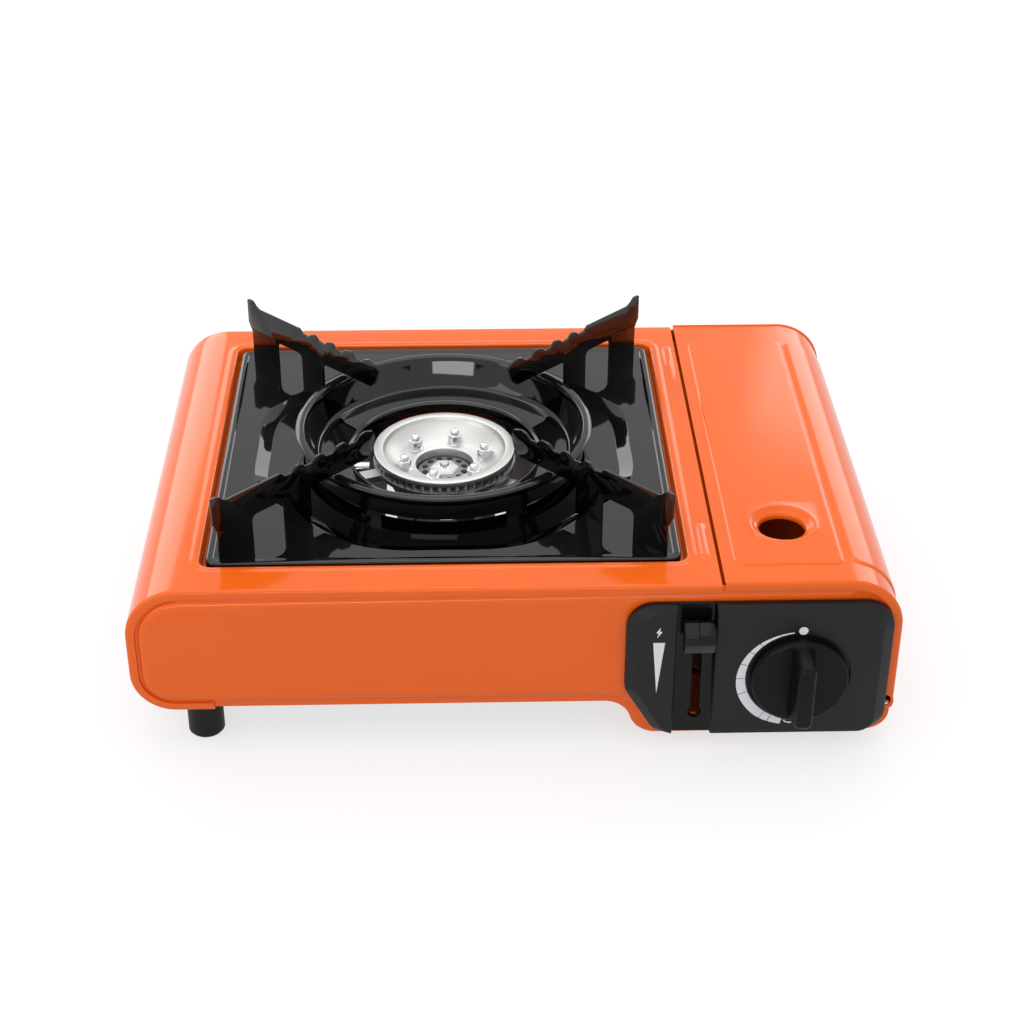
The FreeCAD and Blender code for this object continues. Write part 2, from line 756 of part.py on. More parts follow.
def trough_path(thick, top):
    right = "half_width - sheet"
    return [("step_x - trough_lip", "floor_top"),
            *step_curve("floor_top", "trough_low", "0"),
            (f"{right} - trough_corner", "trough_low", "trough_corner", "left"),
            (right, "trough_low + trough_corner"),
            (right, top),
            (f"{right} - {thick}", top),
            (f"{right} - {thick}", "trough_low + trough_corner", f"trough_corner - {thick}",
             "right"),
            (f"{right} - trough_corner", f"trough_low + {thick}"),
            *step_curve("floor_top", "trough_low", thick, forward=False),
            ("step_x - trough_lip", f"floor_top + {thick}")]


def can_trough():
    top = "hinge_z - lip_drop"
    parts = [prism("trough_skin", "XZ", [trough_path("sheet", top)], "inside_y", "inside_depth")]
    for end, y in (("front", "inside_y"), ("back", "back_y - inset - 2 * sheet")):
        parts.append(prism(f"trough_{end}_flange", "XZ", [trough_path("flange_width", top)], y,
                           "sheet"))
    tools = foot_holes("right")
    for index, (x, z) in enumerate(rear_screw_places()[2:]):
        tools.append(rod(f"trough_screw_hole_{index}", "y", x, "back_y - 6 * sheet", z,
                         "screw_radius - sheet / 2 + running", "6 * sheet"))
    node(cut("trough", fuse("trough_solid", parts), tools), "can_trough")


def partition_plate():
    wall = box("partition_wall", "partition_x", "inside_y + sheet", "trough_top", "sheet",
               "inside_depth - 2 * sheet", "plate_top - sheet - trough_top")
    through = ("partition_x - sheet", "3 * sheet")
    tools = [box("carrier_window", through[0], "front_y + carrier_y - carrier_travel - 2",
                 "lever_z + finger_lift - 8", through[1], "carrier_travel + carrier_thick + 4",
                 "16"),
             rod("pipe_window", "x", through[0], "front_y + 26", "18.5", "3 * pipe_radius",
                 through[1]),
             rod("wire_window", "x", through[0], "front_y + 15", "can_z + wire_rise",
                 "2 * wire_radius", through[1]),
             rod("pivot_hole", "x", through[0], "lever_y", "lever_z", "pivot_radius", through[1])]
    for index, y in enumerate(guide_places()):
        tools.append(rod(f"guide_hole_{index}", "x", through[0], y, "lever_z + finger_lift",
                         "guide_radius", through[1]))
    for index in range(3):
        tools.append(box(f"air_window_{index}", through[0], f"mid_y + {index} * air_pitch", "air_low",
                         through[1], "air_width", "air_height"))
    node(cut("partition", wall, tools), "partition_plate")


def drip_tray():
    width = "opening_x - 2 * tray_gap"
    depth = "opening_y - 2 * tray_gap"
    corner = "opening_corner - tray_gap / 2"
    plate = prism("tray_plate", "XY", [rounded("burner_x", "mid_y", width, depth, corner)],
                  "tray_top - tray_thick", "tray_thick")
    edge = prism("tray_edge", "XY",
                 [rounded("burner_x", "mid_y", width, depth, corner),
                  rounded("burner_x", "mid_y", f"{width} - 2 * tray_thick",
                          f"{depth} - 2 * tray_thick", f"{corner} - tray_thick")],
                 "plate_top - ledge_depth + fit_gap", "ledge_depth - fit_gap - tray_drop")
    hole = rod("tray_cut", "z", "burner_x", "mid_y", "tray_top - 5 * tray_thick", "step_outer",
               "10 * tray_thick")
    middle = turned("tray_middle",
                    [("step_outer + tray_thick", "0"), ("step_outer", "0"),
                     ("step_inner", "-tray_step"), ("tray_hole", "-tray_step"),
                     ("tray_hole", "-tray_step - hole_lip"),
                     ("tray_hole + tray_thick", "-tray_step - hole_lip"),
                     ("tray_hole + tray_thick", "-tray_step - tray_thick"),
                     ("step_inner", "-tray_step - tray_thick"), ("step_outer", "-tray_thick"),
                     ("step_outer + tray_thick", "-tray_thick")],
                    "burner_x", "mid_y", "tray_top")
    node(fuse("tray", [cut("tray_sheet", plate, [hole]), edge, middle]), "drip_tray")


def spoke(name, angle, start, width, low, length, height, x, y):
    """A box that points outwards, at an angle, from a vertical axis through (x, y)."""
    item = box(name, f"{x} + ({start}) * cos({angle}) + ({width}) / 2 * sin({angle})",
               f"{y} + ({start}) * sin({angle}) - ({width}) / 2 * cos({angle})", low,
               length, width, height)
    item.Placement = Placement(item.Placement.Base, Rotation(Vector(0, 0, 1), 1))
    bind(item, "Placement.Rotation.Angle", angle)
    return item


def wind_ring():
    foot_low = "-tray_drop - tray_step"
    skirt_low = "ring_air - tray_step"
    shell = turned("ring_shell",
                   [("ring_skirt", foot_low),
                    ("ring_skirt", skirt_low),
                    ("ring_outer - sheet", "ring_lip - 3 * sheet"),
                    ("ring_outer", "ring_lip - sheet"),
                    ("ring_outer - sheet", "ring_lip"),
                    ("ring_inner", "ring_lip"),
                    ("ring_inner - sheet", "ring_lip - sheet"),
                    ("ring_wall", "-ring_ledge"),
                    ("ring_mouth + sheet", "-ring_ledge - sheet"),
                    ("ring_mouth", "-ring_ledge - 2 * sheet"),
                    ("ring_mouth", "-ring_edge"),
                    ("ring_mouth + sheet", "-ring_edge"),
                    ("ring_mouth + sheet", "-ring_ledge - 2 * sheet"),
                    ("ring_wall + sheet", "-ring_ledge - sheet"),
                    ("ring_inner", "ring_lip - sheet"),
                    ("ring_outer - sheet", "ring_lip - sheet"),
                    ("ring_outer - 2 * sheet", "ring_lip - 3 * sheet"),
                    ("ring_skirt - sheet", skirt_low),
                    ("ring_skirt - sheet", foot_low)])
    half = "(ring_foot / 2 / ring_skirt * 180 / pi)"
    inner, outer = "ring_skirt - 2.5 * sheet", "ring_outer + sheet"
    windows = []
    for index, (start, end) in enumerate((("ring_turn", "180 - ring_turn"),
                                          ("180 - ring_turn", "180 + ring_turn"),
                                          ("180 + ring_turn", "360 - ring_turn"),
                                          ("360 - ring_turn", "360 + ring_turn"))):
        low, high = f"({start} + {half})", f"({end} - {half})"
        loop = [(f"({inner}) * cos({low})", f"({inner}) * sin({low})"),
                (f"({outer}) * cos({low})", f"({outer}) * sin({low})", outer, "left"),
                (f"({outer}) * cos({high})", f"({outer}) * sin({high})"),
                (f"({inner}) * cos({high})", f"({inner}) * sin({high})", inner, "right")]
        windows.append(prism(f"ring_window_{index}", "XY", [loop], f"{foot_low} - sheet",
                             f"{skirt_low} - ({foot_low}) + sheet"))
    ring = cut("ring", shell, windows)
    node(place(ring, "burner_x", "mid_y", "plate_top"), "wind_ring")


def pan_support(label, angle):
    """One notched sheet arm, drawn along X from the burner axis and turned to its corner."""
    tooth_bend = "((tooth_half ^ 2 + arm_tooth ^ 2) / (2 * arm_tooth))"
    path = [("arm_start + 3", "arm_window + 2.5"), ("arm_start + 5", "arm_window"),
            ("step_inner - 3", "arm_window", "window_round", "right"),
            ("step_inner - 3 + window_round", "arm_window - window_round"),
            ("step_inner - 3 + window_round", "-tray_drop - tray_step"),
            ("step_inner", "-tray_drop - tray_step"), ("step_outer", "-tray_drop"),
            ("leg_inner", "-tray_drop"),
            ("leg_inner", "arm_window - window_round", "window_round", "right"),
            ("leg_inner + window_round", "arm_window"),
            ("leg_outer - window_round", "arm_window", "window_round", "right"),
            ("leg_outer", "arm_window - window_round"), ("leg_outer", "-tray_drop"),
            ("leg_end", "-tray_drop"), ("leg_end", "arm_top / 2 - 1.5"),
            ("arm_reach", "arm_top / 2 + 2.5"), ("arm_reach", "arm_top - 1.5"),
            ("arm_reach - 1", "arm_top"), ("arm_reach - 4.5", "arm_top"),
            ("arm_reach - 5.5", "arm_top - 1.5"), ("arm_reach - 8", "arm_crest - 1"),
            ("arm_reach - 10.5", "arm_crest")]
    for tooth in ("notch_four", "notch_three", "notch_two", "notch_one"):
        path.append((f"{tooth} + tooth_half", "arm_crest", tooth_bend, "right"))
        path.append((f"{tooth} - tooth_half", "arm_crest"))
    path.append(("arm_start + 5.5", "arm_crest + 0.5"))
    path.append(("arm_start + 1.5", "arm_crest - 1.8"))
    path.append(("arm_start", "arm_crest - 3.8"))
    body = new_body(label, "burner_x", "mid_y", "plate_top", Rotation(Vector(0, 0, 1), 1), angle)
    pad(body, "XZ_Plane", [path], "-arm_thick / 2", "arm_thick")
    node(body, label)


def bolt_angle(index):
    return f"(bolt_start + {index} * 360 / bolt_count)"


def bolt_place(index):
    return (f"burner_x + bolt_circle * cos({bolt_angle(index)})",
            f"mid_y + bolt_circle * sin({bolt_angle(index)})")


def burner_head():
    bowl = turned("burner_bowl",
                  [("0", "-bowl_depth"), ("bolt_circle / 2", "-bowl_depth"),
                   ("bolt_circle + 4", "3 - bowl_depth"), ("burner_radius - 3", "-2"),
                   ("burner_flange", "-2"), ("burner_flange", "0"),
                   ("burner_radius - 3 - bowl_wall", "0"),
                   ("bolt_circle + 4 - bowl_wall", "3 + bowl_wall - bowl_depth"),
                   ("bolt_circle / 2 - 1", "bowl_wall - bowl_depth"),
                   ("4", "bowl_wall - bowl_depth"), ("4", "dish_top - cap_foot - core_drop"),
                   ("0", "dish_top - cap_foot - core_drop")],
                  "burner_x", "mid_y", "cap_foot")
    bosses = []
    holes = []
    for index in range(int(value("bolt_count"))):
        x, y = bolt_place(index)
        bosses.append(rod(f"boss_{index}", "z", x, y, "bowl_low + bowl_wall / 2", "boss_radius",
                          "dish_top - dish_wall - bowl_low - bowl_wall / 2"))
        holes.append(rod(f"boss_hole_{index}", "z", x, y, "dish_top - dish_wall - 5",
                         "bolt_shank + running", "10"))
    tube = tube_body("mixing_tube", "tube_radius", "bolt_circle", "tube_reach - bolt_circle")
    bore = tube_body("mixing_bore", "tube_radius - tube_wall", "bolt_circle / 2",
                     "tube_reach - bolt_circle / 2 + 1")
    lug = spoke("head_lug", "lug_turn", "burner_radius - 4", "lug_width", "cap_foot - 4",
                "lug_reach", "lug_thick", "burner_x", "mid_y")
    solid = fuse("head_solid", [bowl, *bosses, tube, lug])
    node(cut("head", solid, [bore, *holes]), "burner_head")


def tube_body(name, radius, start, length):
    """A round bar along the mixing tube's axis."""
    body = new_body(name, "burner_x", "mid_y", "tube_z", Rotation(Vector(0, 0, -1), 1),
                    "tube_turn")
    pad(body, "YZ_Plane", [("0", "0", radius)], start, length)
    return body


def burner_cap():
    body = turned("burner_cap",
                  [("burner_radius", "-cap_height"), ("burner_radius", "-cap_edge"),
                   ("burner_radius - cap_edge", "0"), ("burner_radius - cap_rim", "0"),
                   ("burner_radius - cap_rim - 1.5", "-2.5"), ("dish_floor", "-dish_depth"),
                   ("hole_radius + cap_edge", "-dish_depth"),
                   ("hole_radius", "-dish_depth - cap_edge"), ("hole_radius", "-dish_depth - 5"),
                   ("hole_radius + dish_wall", "-dish_depth - 5"),
                   ("hole_radius + dish_wall", "-dish_depth - dish_wall"),
                   ("dish_floor + 1", "-dish_depth - dish_wall"),
                   ("burner_radius - cap_skirt - 0.8", "-2.8"),
                   ("burner_radius - cap_skirt", "-2.8"),
                   ("burner_radius - cap_skirt", "-cap_height")],
                  "burner_x", "mid_y", "cap_top")
    holes = pocket(body, "XY_Plane",
                   [(f"bolt_circle * cos({bolt_angle(index)})",
                     f"bolt_circle * sin({bolt_angle(index)})", "bolt_shank + running")
                    for index in range(int(value("bolt_count")))], "0",
                   "dish_depth + dish_wall + 1")
    opening = rectangle("-port_width / 2", "1.5 - cap_height", "port_width", "cap_height - 3")
    port = pocket(body, "YZ_Plane", [opening], "burner_radius + 1", "cap_skirt + 1.2")
    ports = body.newObject("PartDesign::PolarPattern", "burner_ports")
    ports.Originals = [port]
    ports.Axis = (holes.Profile[0], ["N_Axis"])
    ports.Angle = 360
    bind(ports, "Occurrences", "port_count")
    body.Tip = ports
    node(body, "burner_cap")


def burner_bolts():
    bolts = []
    for index in range(int(value("bolt_count"))):
        x, y = bolt_place(index)
        post = doc.addObject("Part::Prism", f"bolt_hex_{index}")
        post.Polygon = 6
        bind(post, "Circumradius", "bolt_flats / sqrt(3)")
        bind(post, "Height", "bolt_height")
        place(post, x, y, "dish_top")
        shank = rod(f"bolt_shank_{index}", "z", x, y, "dish_top - dish_wall - 4", "bolt_shank",
                    "dish_wall + 5")
        bolts.append(fuse(f"bolt_{index}", [post, shank]))
    node(group("bolts", bolts), "burner_bolts")


def burner_core():
    body = turned("burner_core",
                  [("0", "-core_drop"), ("3", "-core_drop"), ("3", "-5.5"),
                   ("hole_radius - core_gap", "-5.5"), ("hole_radius - core_gap", "-4.2"),
                   ("7.2", "-3.4"), ("6.9", "-2.2"), ("2.2", "-2"), ("2.2", "-0.2"),
                   ("0", "-0.2")],
                  "burner_x", "mid_y", "dish_top")
    turns = [f"(bolt_start + {index} * 360 / core_hole_count)"
             for index in range(int(value("core_hole_count")))]
    pocket(body, "XY_Plane",
           [(f"core_hole_circle * cos({turn})", f"core_hole_circle * sin({turn})",
             "core_hole_radius") for turn in turns], "-2", "4")
    node(body, "burner_core")


def burner_bracket():
    top = "bowl_low"
    half = "bracket_width / 2"
    foot = "bracket_foot"
    path = [(f"burner_x - {half} - {foot}", "floor_top"),
            (f"burner_x - {half} + bracket_sheet", "floor_top"),
            (f"burner_x - {half} + bracket_sheet", f"{top} - bracket_sheet"),
            (f"burner_x + {half} - bracket_sheet", f"{top} - bracket_sheet"),
            (f"burner_x + {half} - bracket_sheet", "floor_top"),
            (f"burner_x + {half} + {foot}", "floor_top"),
            (f"burner_x + {half} + {foot}", "floor_top + bracket_sheet"),
            (f"burner_x + {half}", "floor_top + bracket_sheet"),
            (f"burner_x + {half}", top), (f"burner_x - {half}", top),
            (f"burner_x - {half}", "floor_top + bracket_sheet"),
            (f"burner_x - {half} - {foot}", "floor_top + bracket_sheet")]
    hat = prism("bracket_hat", "XZ", [path], "mid_y - bracket_depth / 2", "bracket_depth")
    turn = "(-spark_turn)"
    arm = spoke("bracket_arm", turn, "bracket_arm_start", "bracket_arm_width",
                f"{top} - bracket_sheet", "spark_radius", "bracket_sheet", "burner_x", "mid_y")
    x, y = spark_place()
    hole = rod("ceramic_hole", "z", x, y, "bowl_low - 5", "ceramic_radius + running", "10")
    node(cut("bracket", fuse("bracket_solid", [hat, arm]), [hole]), "burner_bracket")


def spark_place():
    return ("burner_x + spark_radius * cos(spark_turn)", "mid_y - spark_radius * sin(spark_turn)")


def ignition():
    x, y = spark_place()
    node(turned("electrode_insulator",
                [("spark_wire", "-6"), ("ceramic_radius", "-6"), ("ceramic_radius", "0"),
                 ("ceramic_radius + 1.5", "0"), ("ceramic_radius + 1.5", "1.5"),
                 ("ceramic_radius", "1.5"), ("ceramic_radius", "15"),
                 ("ceramic_radius - 1", "16"), ("spark_wire", "16")],
                x, y, "bowl_low"), "electrode_insulator")
    node(rod("electrode", "z", x, y, "bowl_low - 6", "spark_wire", "bowl_depth + 8"),
         "ignition_electrode")
    module = box("piezo_case", "can_x - piezo_in", "inside_y", "can_z + 20", "piezo_width",
                 "piezo_depth", "piezo_depth")
    boss = rod("piezo_boss", "x", "can_x - piezo_in - 3", "front_y + 15", "can_z + wire_rise",
               "2 * wire_radius", "5")
    node(fuse("piezo", [module, boss]), "igniter_module")
    pipe("ignition_wire",
         [("can_x - piezo_in - 3", "front_y + 15", "can_z + wire_rise"),
          ("partition_x - 14", "front_y + 16", "can_z + wire_rise"),
          ("partition_x - 34", "front_y + 32", "can_z + 30"),
          ("burner_x + 58", "mid_y - 74", "can_z + 26"),
          ("burner_x + 38", "mid_y - 58", "can_z + 14"),
          (x, f"{y} - 8", "bowl_low - 22"),
          (x, y, "bowl_low - 17"), (x, y, "bowl_low - 6")], "wire_radius")


def gas_parts():
    rings = [("tube_radius", "tube_reach", "2"), ("tube_radius - tube_wall - fit_gap",
                                                  "tube_reach - 6", "6"),
             ("4", "tube_reach + 2", "5")]
    body = new_body("gas_nozzle", "burner_x", "mid_y", "tube_z", Rotation(Vector(0, 0, -1), 1),
                    "tube_turn")
    for radius, start, length in rings:
        pad(body, "YZ_Plane", [("0", "0", radius)], start, length)
    node(body, "gas_nozzle")
    reach = "tube_reach + 7"
    start = (f"burner_x + ({reach}) * cos(tube_turn)", f"mid_y - ({reach}) * sin(tube_turn)")
    bend = (f"burner_x + ({reach} + 9) * cos(tube_turn)",
            f"mid_y - ({reach} + 9) * sin(tube_turn)")
    port_y = "front_y + regulator_back - 10"
    pipe("gas_pipe",
         [(*start, "tube_z"), (*bend, "tube_z"), ("lever_x - 10", "mid_y - 52", "52"),
          ("lever_x - 8.5", "mid_y - 66", "33"), ("lever_x - 5.5", "mid_y - 80", "20"),
          ("partition_x - 3", "front_y + 29", "17"), ("partition_x + 6", f"{port_y} + 2", "21"),
          ("can_x - regulator_radius - 13", port_y, "33"),
          ("can_x - regulator_radius - 8", port_y, "can_z"),
          ("can_x - regulator_radius", port_y, "can_z")], "pipe_radius")


def regulator():
    flange = rod("regulator_foot", "y", "can_x", "inside_y", "can_z", "regulator_flange",
                 "flange_thick")
    stem = rod("regulator_tube", "y", "can_x", "inside_y", "can_z", "regulator_stem",
               "regulator_front + sheet - inset")
    block = rod("regulator_block", "y", "can_x", "front_y + regulator_front", "can_z",
                "regulator_radius", "regulator_back - regulator_front")
    neck = rod("regulator_collar", "y", "can_x", "front_y + regulator_back - sheet", "can_z",
               "regulator_neck", "connector_front - regulator_back + sheet")
    y = "front_y + (regulator_front + regulator_back) / 2"
    side = rod("regulator_boss", "x", "can_x", y, "can_z", "regulator_side",
               "regulator_radius + side_reach")
    bore = rod("shaft_bore", "y", "can_x", "front_y", "can_z", "shaft_radius + running",
               "regulator_front + 5")
    port = rod("pipe_port", "x", "can_x - regulator_radius - 1", y, "can_z",
               "pipe_radius + 2 * running", "1")
    node(cut("regulator", fuse("regulator_solid", [flange, stem, block, neck, side]),
             [bore, port]), "regulator_body")
    cap_x = "can_x + regulator_radius + side_reach"
    node(rod("diaphragm_cap", "x", cap_x, y, "can_z", "diaphragm_radius", "diaphragm_thick"),
         "regulator_cap")
    screws = []
    for index in range(4):
        angle = 45 + 90 * index
        screws.append(rod(f"cap_screw_{index}", "x", f"{cap_x} + diaphragm_thick",
                          f"{y} + cap_screw_circle * cos({angle})",
                          f"can_z + cap_screw_circle * sin({angle})", "cap_screw_radius",
                          "cap_screw_head"))
    node(group("cap_screws", screws), "regulator_screws")
    holder = rod("connector_solid", "y", "can_x", "front_y + connector_front", "can_z",
                 "connector_radius", "connector_back - connector_front")
    stem_bore = rod("connector_bore", "y", "can_x", "front_y + connector_front + 2", "can_z",
                    "stem_bore", "connector_back")
    seal_y = "front_y + connector_back - seal_depth"
    seat = rod("seal_seat", "y", "can_x", seal_y, "can_z", "seal_radius", "2 * seal_thick")
    node(cut("connector", holder, [stem_bore, seat]), "can_connector")
    ring = rod("seal_outer", "y", "can_x", seal_y, "can_z", "seal_radius - running",
               "seal_thick")
    hole = rod("seal_hole", "y", "can_x", "front_y + connector_front", "can_z",
               "stem_bore + fit_gap", "connector_back")
    node(cut("seal", ring, [hole]), "connector_seal")


def guide_places():
    """Y of the two screws that the carrier slides on."""
    return ("front_y + carrier_y + 11", "lever_y + 20")


def can_carrier():
    y = "front_y + carrier_y"
    pin_z = "lever_z + finger_lift"
    arm_x = "lever_x + lever_thick / 2 + 1.5"
    plate = prism("carrier_plate", "XZ",
                  [[(f"{arm_x}", f"{pin_z} - 5"), ("can_x - 26", f"{pin_z} - 5"),
                    ("can_x - 26", "can_z - 22"), ("can_x + 26", "can_z - 22"),
                    ("can_x + 26", "can_z + 8"), ("can_x + carrier_notch", "can_z + 8"),
                    ("can_x + carrier_notch", "can_z", "carrier_notch + sheet / 2", "right"),
                    ("can_x - carrier_notch", "can_z"), ("can_x - carrier_notch", f"{pin_z} + 5"),
                    (f"{arm_x}", f"{pin_z} + 5")]], y, "carrier_thick")
    arm = box("carrier_arm", arm_x, y, f"{pin_z} - 5", "1.5", "lever_y - front_y - carrier_y + 30",
              "10")
    pin = rod("carrier_pin", "x", "lever_x - lever_thick / 2 - 1",
              "lever_y + finger_lift * sin(lever_tilt)", "lever_z + finger_lift * cos(lever_tilt)",
              "1.5", "lever_thick + 3.5")
    slots = []
    for index, guide in enumerate(guide_places()):
        slots.append(box(f"carrier_slot_{index}", f"{arm_x} - sheet",
                         f"{guide} - guide_radius - 0.5", f"{pin_z} - guide_radius - fit_gap",
                         "4 * sheet",
                         "carrier_travel + 2 * guide_radius + 1.5", "2 * (guide_radius + fit_gap)"))
    node(cut("carrier", fuse("carrier_solid", [plate, arm, pin]), slots), "can_carrier")
    screws = []
    arm_front = f"{arm_x} - fit_gap"
    for index, guide in enumerate(guide_places()):
        shank = rod(f"guide_shank_{index}", "x", arm_front, guide, pin_z, "guide_radius",
                    f"partition_x + sheet - ({arm_front})")
        head = rod(f"guide_head_{index}", "x", f"{arm_front} - 0.8", guide, pin_z,
                   "guide_radius + 1.5", "0.8")
        screws.append(fuse(f"guide_screw_{index}", [shank, head]))
    node(group("guide_screws", screws), "carrier_guide_screws")


def can_cradles():
    half = "cradle_half"
    bend = "(can_radius + fit_gap)"
    height = f"can_z - sqrt({bend} ^ 2 - {half} ^ 2)"
    path = [(f"can_x - {half}", "trough_top"), (f"can_x + {half}", "trough_top"),
            (f"can_x + {half}", height, bend, "right"), (f"can_x - {half}", height)]
    ribs = [prism(f"cradle_{index}", "XZ", [path],
                  f"front_y + cradle_front + {index} * cradle_pitch", "cradle_thick")
            for index in range(2)]
    node(group("cradles", ribs), "can_cradles")


LEVER_TURN = Rotation(Vector(-1, 0, 0), 1)


def lever():
    body = new_body("lever_plate", "lever_x", "lever_y", "lever_z", LEVER_TURN, "lever_tilt")
    loops = [rectangle("-lever_tip", "-lever_half", "lever_tip", "2 * lever_half"),
             rectangle("-finger_half", "0", "2 * finger_half", "finger_lift + 4")]
    for loop in loops:
        pad(body, "YZ_Plane", [loop], "-lever_thick / 2", "lever_thick")
    pad(body, "YZ_Plane", [("0", "0", "pivot_radius + 4")], "-lever_thick / 2", "lever_thick")
    pocket(body, "YZ_Plane", [("0", "0", "pivot_radius + running"),
                              rectangle("-finger_slot_half", "finger_lift - finger_slot_rise",
                                        "2 * finger_slot_half", "2 * finger_slot_rise")],
           "lever_thick", "2 * lever_thick")
    node(body, "lever_plate")
    knob = new_body("lever_knob", "lever_x", "lever_y", "lever_z", LEVER_TURN, "lever_tilt")
    pad(knob, "YZ_Plane",
        [[("-lever_knob_back", "-6.5"), ("-lever_knob_back", "7.5"),
          ("-lever_knob_front", "3"), ("-lever_knob_front", "-1"),
          ("-lever_knob_front + 4", "-6.5")]], "-lever_knob_width / 2", "lever_knob_width")
    socket = rectangle("-lever_tip - running", "-lever_half - running", "2 * lever_half",
                       "2 * (lever_half + running)")
    pocket(knob, "YZ_Plane", [socket], "lever_thick / 2 + running", "lever_thick + 2 * running")
    node(knob, "lever_knob")
    pin_x = "lever_x - lever_thick / 2 - fit_gap"
    shank = rod("pivot_shank", "x", pin_x, "lever_y", "lever_z", "pivot_radius",
                f"partition_x + sheet - ({pin_x})")
    head = rod("pivot_head", "x", f"{pin_x} - 1.2", "lever_y", "lever_z", "pivot_radius + 1.5",
               "1.2")
    node(fuse("pivot", [shank, head]), "lever_pivot_pin")
    lever_spring()


def lever_spring():
    """Close-wound torsion spring on the pivot pin, with one leg along the lever."""
    start = "lever_x + lever_thick / 2 + 1.5"
    turns = []
    for index in range(int(value("spring_turns"))):
        ring = doc.addObject("Part::Torus", f"spring_turn_{index}")
        bind(ring, "Radius1", "pivot_radius + 1")
        bind(ring, "Radius2", "spring_wire")
        turns.append(place(ring, f"{start} + {index} * 1.7 * spring_wire", "lever_y", "lever_z",
                           AXIS_TURN["x"]))
    leg = rod("spring_arm", "y", start, "lever_y + 1 - spring_leg",
              "lever_z + pivot_radius + 1.1", "spring_wire", "spring_leg")
    node(fuse("spring", [*turns, leg]), "lever_spring")


FRONT = Rotation(Vector(1, 0, 0), 90)


def fascia_outline(side, top):
    """Outline of the panel, side mm in from its sides and top mm down from its top."""
    left, right = f"(fascia_left + {side})", f"(fascia_right - {side})"
    high = f"(fascia_high - {top})"
    foot = f"(fascia_foot_round - {side} / 2)"
    crown = f"(fascia_top_round - {side})"
    return [(f"{left} + fascia_cut_run", "fascia_low"),
            (f"{right} - {foot}", "fascia_low", foot, "left"),
            (right, f"fascia_low + {foot}"),
            (right, f"{high} - {crown}", crown, "left"),
            (f"{right} - {crown}", high),
            (f"{left} + {crown}", high, crown, "left"),
            (left, f"{high} - {crown}"),
            (left, "fascia_low + fascia_cut_rise")]


def fascia():
    body = new_body("fascia", "0", "front_y", "0", FRONT)
    pad(body, "XY_Plane", [fascia_outline("0", "0")], "fit_gap",
        "fascia_proud - fascia_bevel - fit_gap")
    face = body.newObject("PartDesign::AdditiveLoft", "fascia_face")
    face.Profile = sketch_in(body, "XY_Plane", [fascia_outline("0", "0")],
                             "fascia_proud - fascia_bevel")
    face.Sections = [sketch_in(body, "XY_Plane", [fascia_outline("fascia_side_bevel",
                                                                 "fascia_bevel")],
                               "fascia_proud")]
    face.Ruled = True
    pad(body, "XY_Plane", [rectangle("fascia_left + 18", "fascia_low + 16", "80", "44")], "0",
        "fit_gap")
    pocket(body, "XY_Plane",
           [rectangle("lever_x - channel_width / 2", "fascia_low - 1", "channel_width",
                      "fascia_high - fascia_low + 2")], "fascia_proud + 1", "channel_depth + 1")
    pocket(body, "XY_Plane",
           [rectangle("lever_x - slot_width / 2", "slot_low", "slot_width",
                      "slot_high - slot_low"),
            ("can_x", "can_z", "shaft_radius + 3 * running")], "fascia_proud + 1",
           "fascia_proud + 2")
    for x, z in fascia_screw_places():
        pocket(body, "XY_Plane", [(x, z, "fascia_screw + running")], "4", "5")
    node(body, "fascia")


def fascia_screw_places():
    return [("fascia_left + 15", "fascia_high - 12"), ("fascia_right - 28", "fascia_high - 12"),
            ("fascia_right - 28", "fascia_low + 12"), ("lever_x + 19", "fascia_low + 10")]


def fascia_screws():
    screws = []
    for index, (x, z) in enumerate(fascia_screw_places()):
        head = rod(f"fascia_head_{index}", "y", x, "front_y + sheet", z, "fascia_screw_head",
                   "1.2")
        shank = rod(f"fascia_shank_{index}", "y", x, "front_y - 3.5", z, "fascia_screw", "5")
        screws.append(fuse(f"fascia_screw_{index}", [head, shank]))
    node(group("front_screws", screws), "fascia_screws")


def control_knob():
    body = new_body("control_knob", "can_x", "front_y", "can_z", FRONT)
    base = "fascia_proud + knob_gap"
    pad(body, "XY_Plane", [("0", "0", "knob_radius")], base, "knob_disc")
    grip = rounded("0", "0", "grip_width", "2 * knob_radius - 2", "3.5")
    pad(body, "XY_Plane", [grip], f"{base} + knob_disc - 1", "grip_height + 1", -3)
    pocket(body, "XY_Plane", [("0", "0", "shaft_radius + running")], f"{base} + 12", "20")
    node(body, "control_knob")
    node(rod("spindle", "y", "can_x", "front_y - fascia_proud - knob_gap - 11", "can_z",
             "shaft_radius", "fascia_proud + knob_gap + regulator_front + 14"), "valve_shaft")


def feet():
    for name, x, y, top in foot_places():
        node(turned(name, [("screw_head + 0.8", "0"), ("foot_radius - 1", "0"),
                           ("foot_radius", "foot_edge"), ("foot_radius", top),
                           ("screw_radius + running", top),
                           ("screw_radius + running", "foot_sole"),
                           ("screw_head + 0.8", "foot_sole")], x, y, "0"), name)
    screws = []
    for name, x, y, top in foot_places():
        head = rod(f"head_{name}", "z", x, y, "foot_sole - head_thick", "screw_head", "head_thick")
        shank = rod(f"shank_{name}", "z", x, y, "foot_sole - 1", "screw_radius", f"{top} + 3")
        screws.append(fuse(f"screw_{name}", [head, shank]))
    node(group("all_foot_screws", screws), "foot_screws")


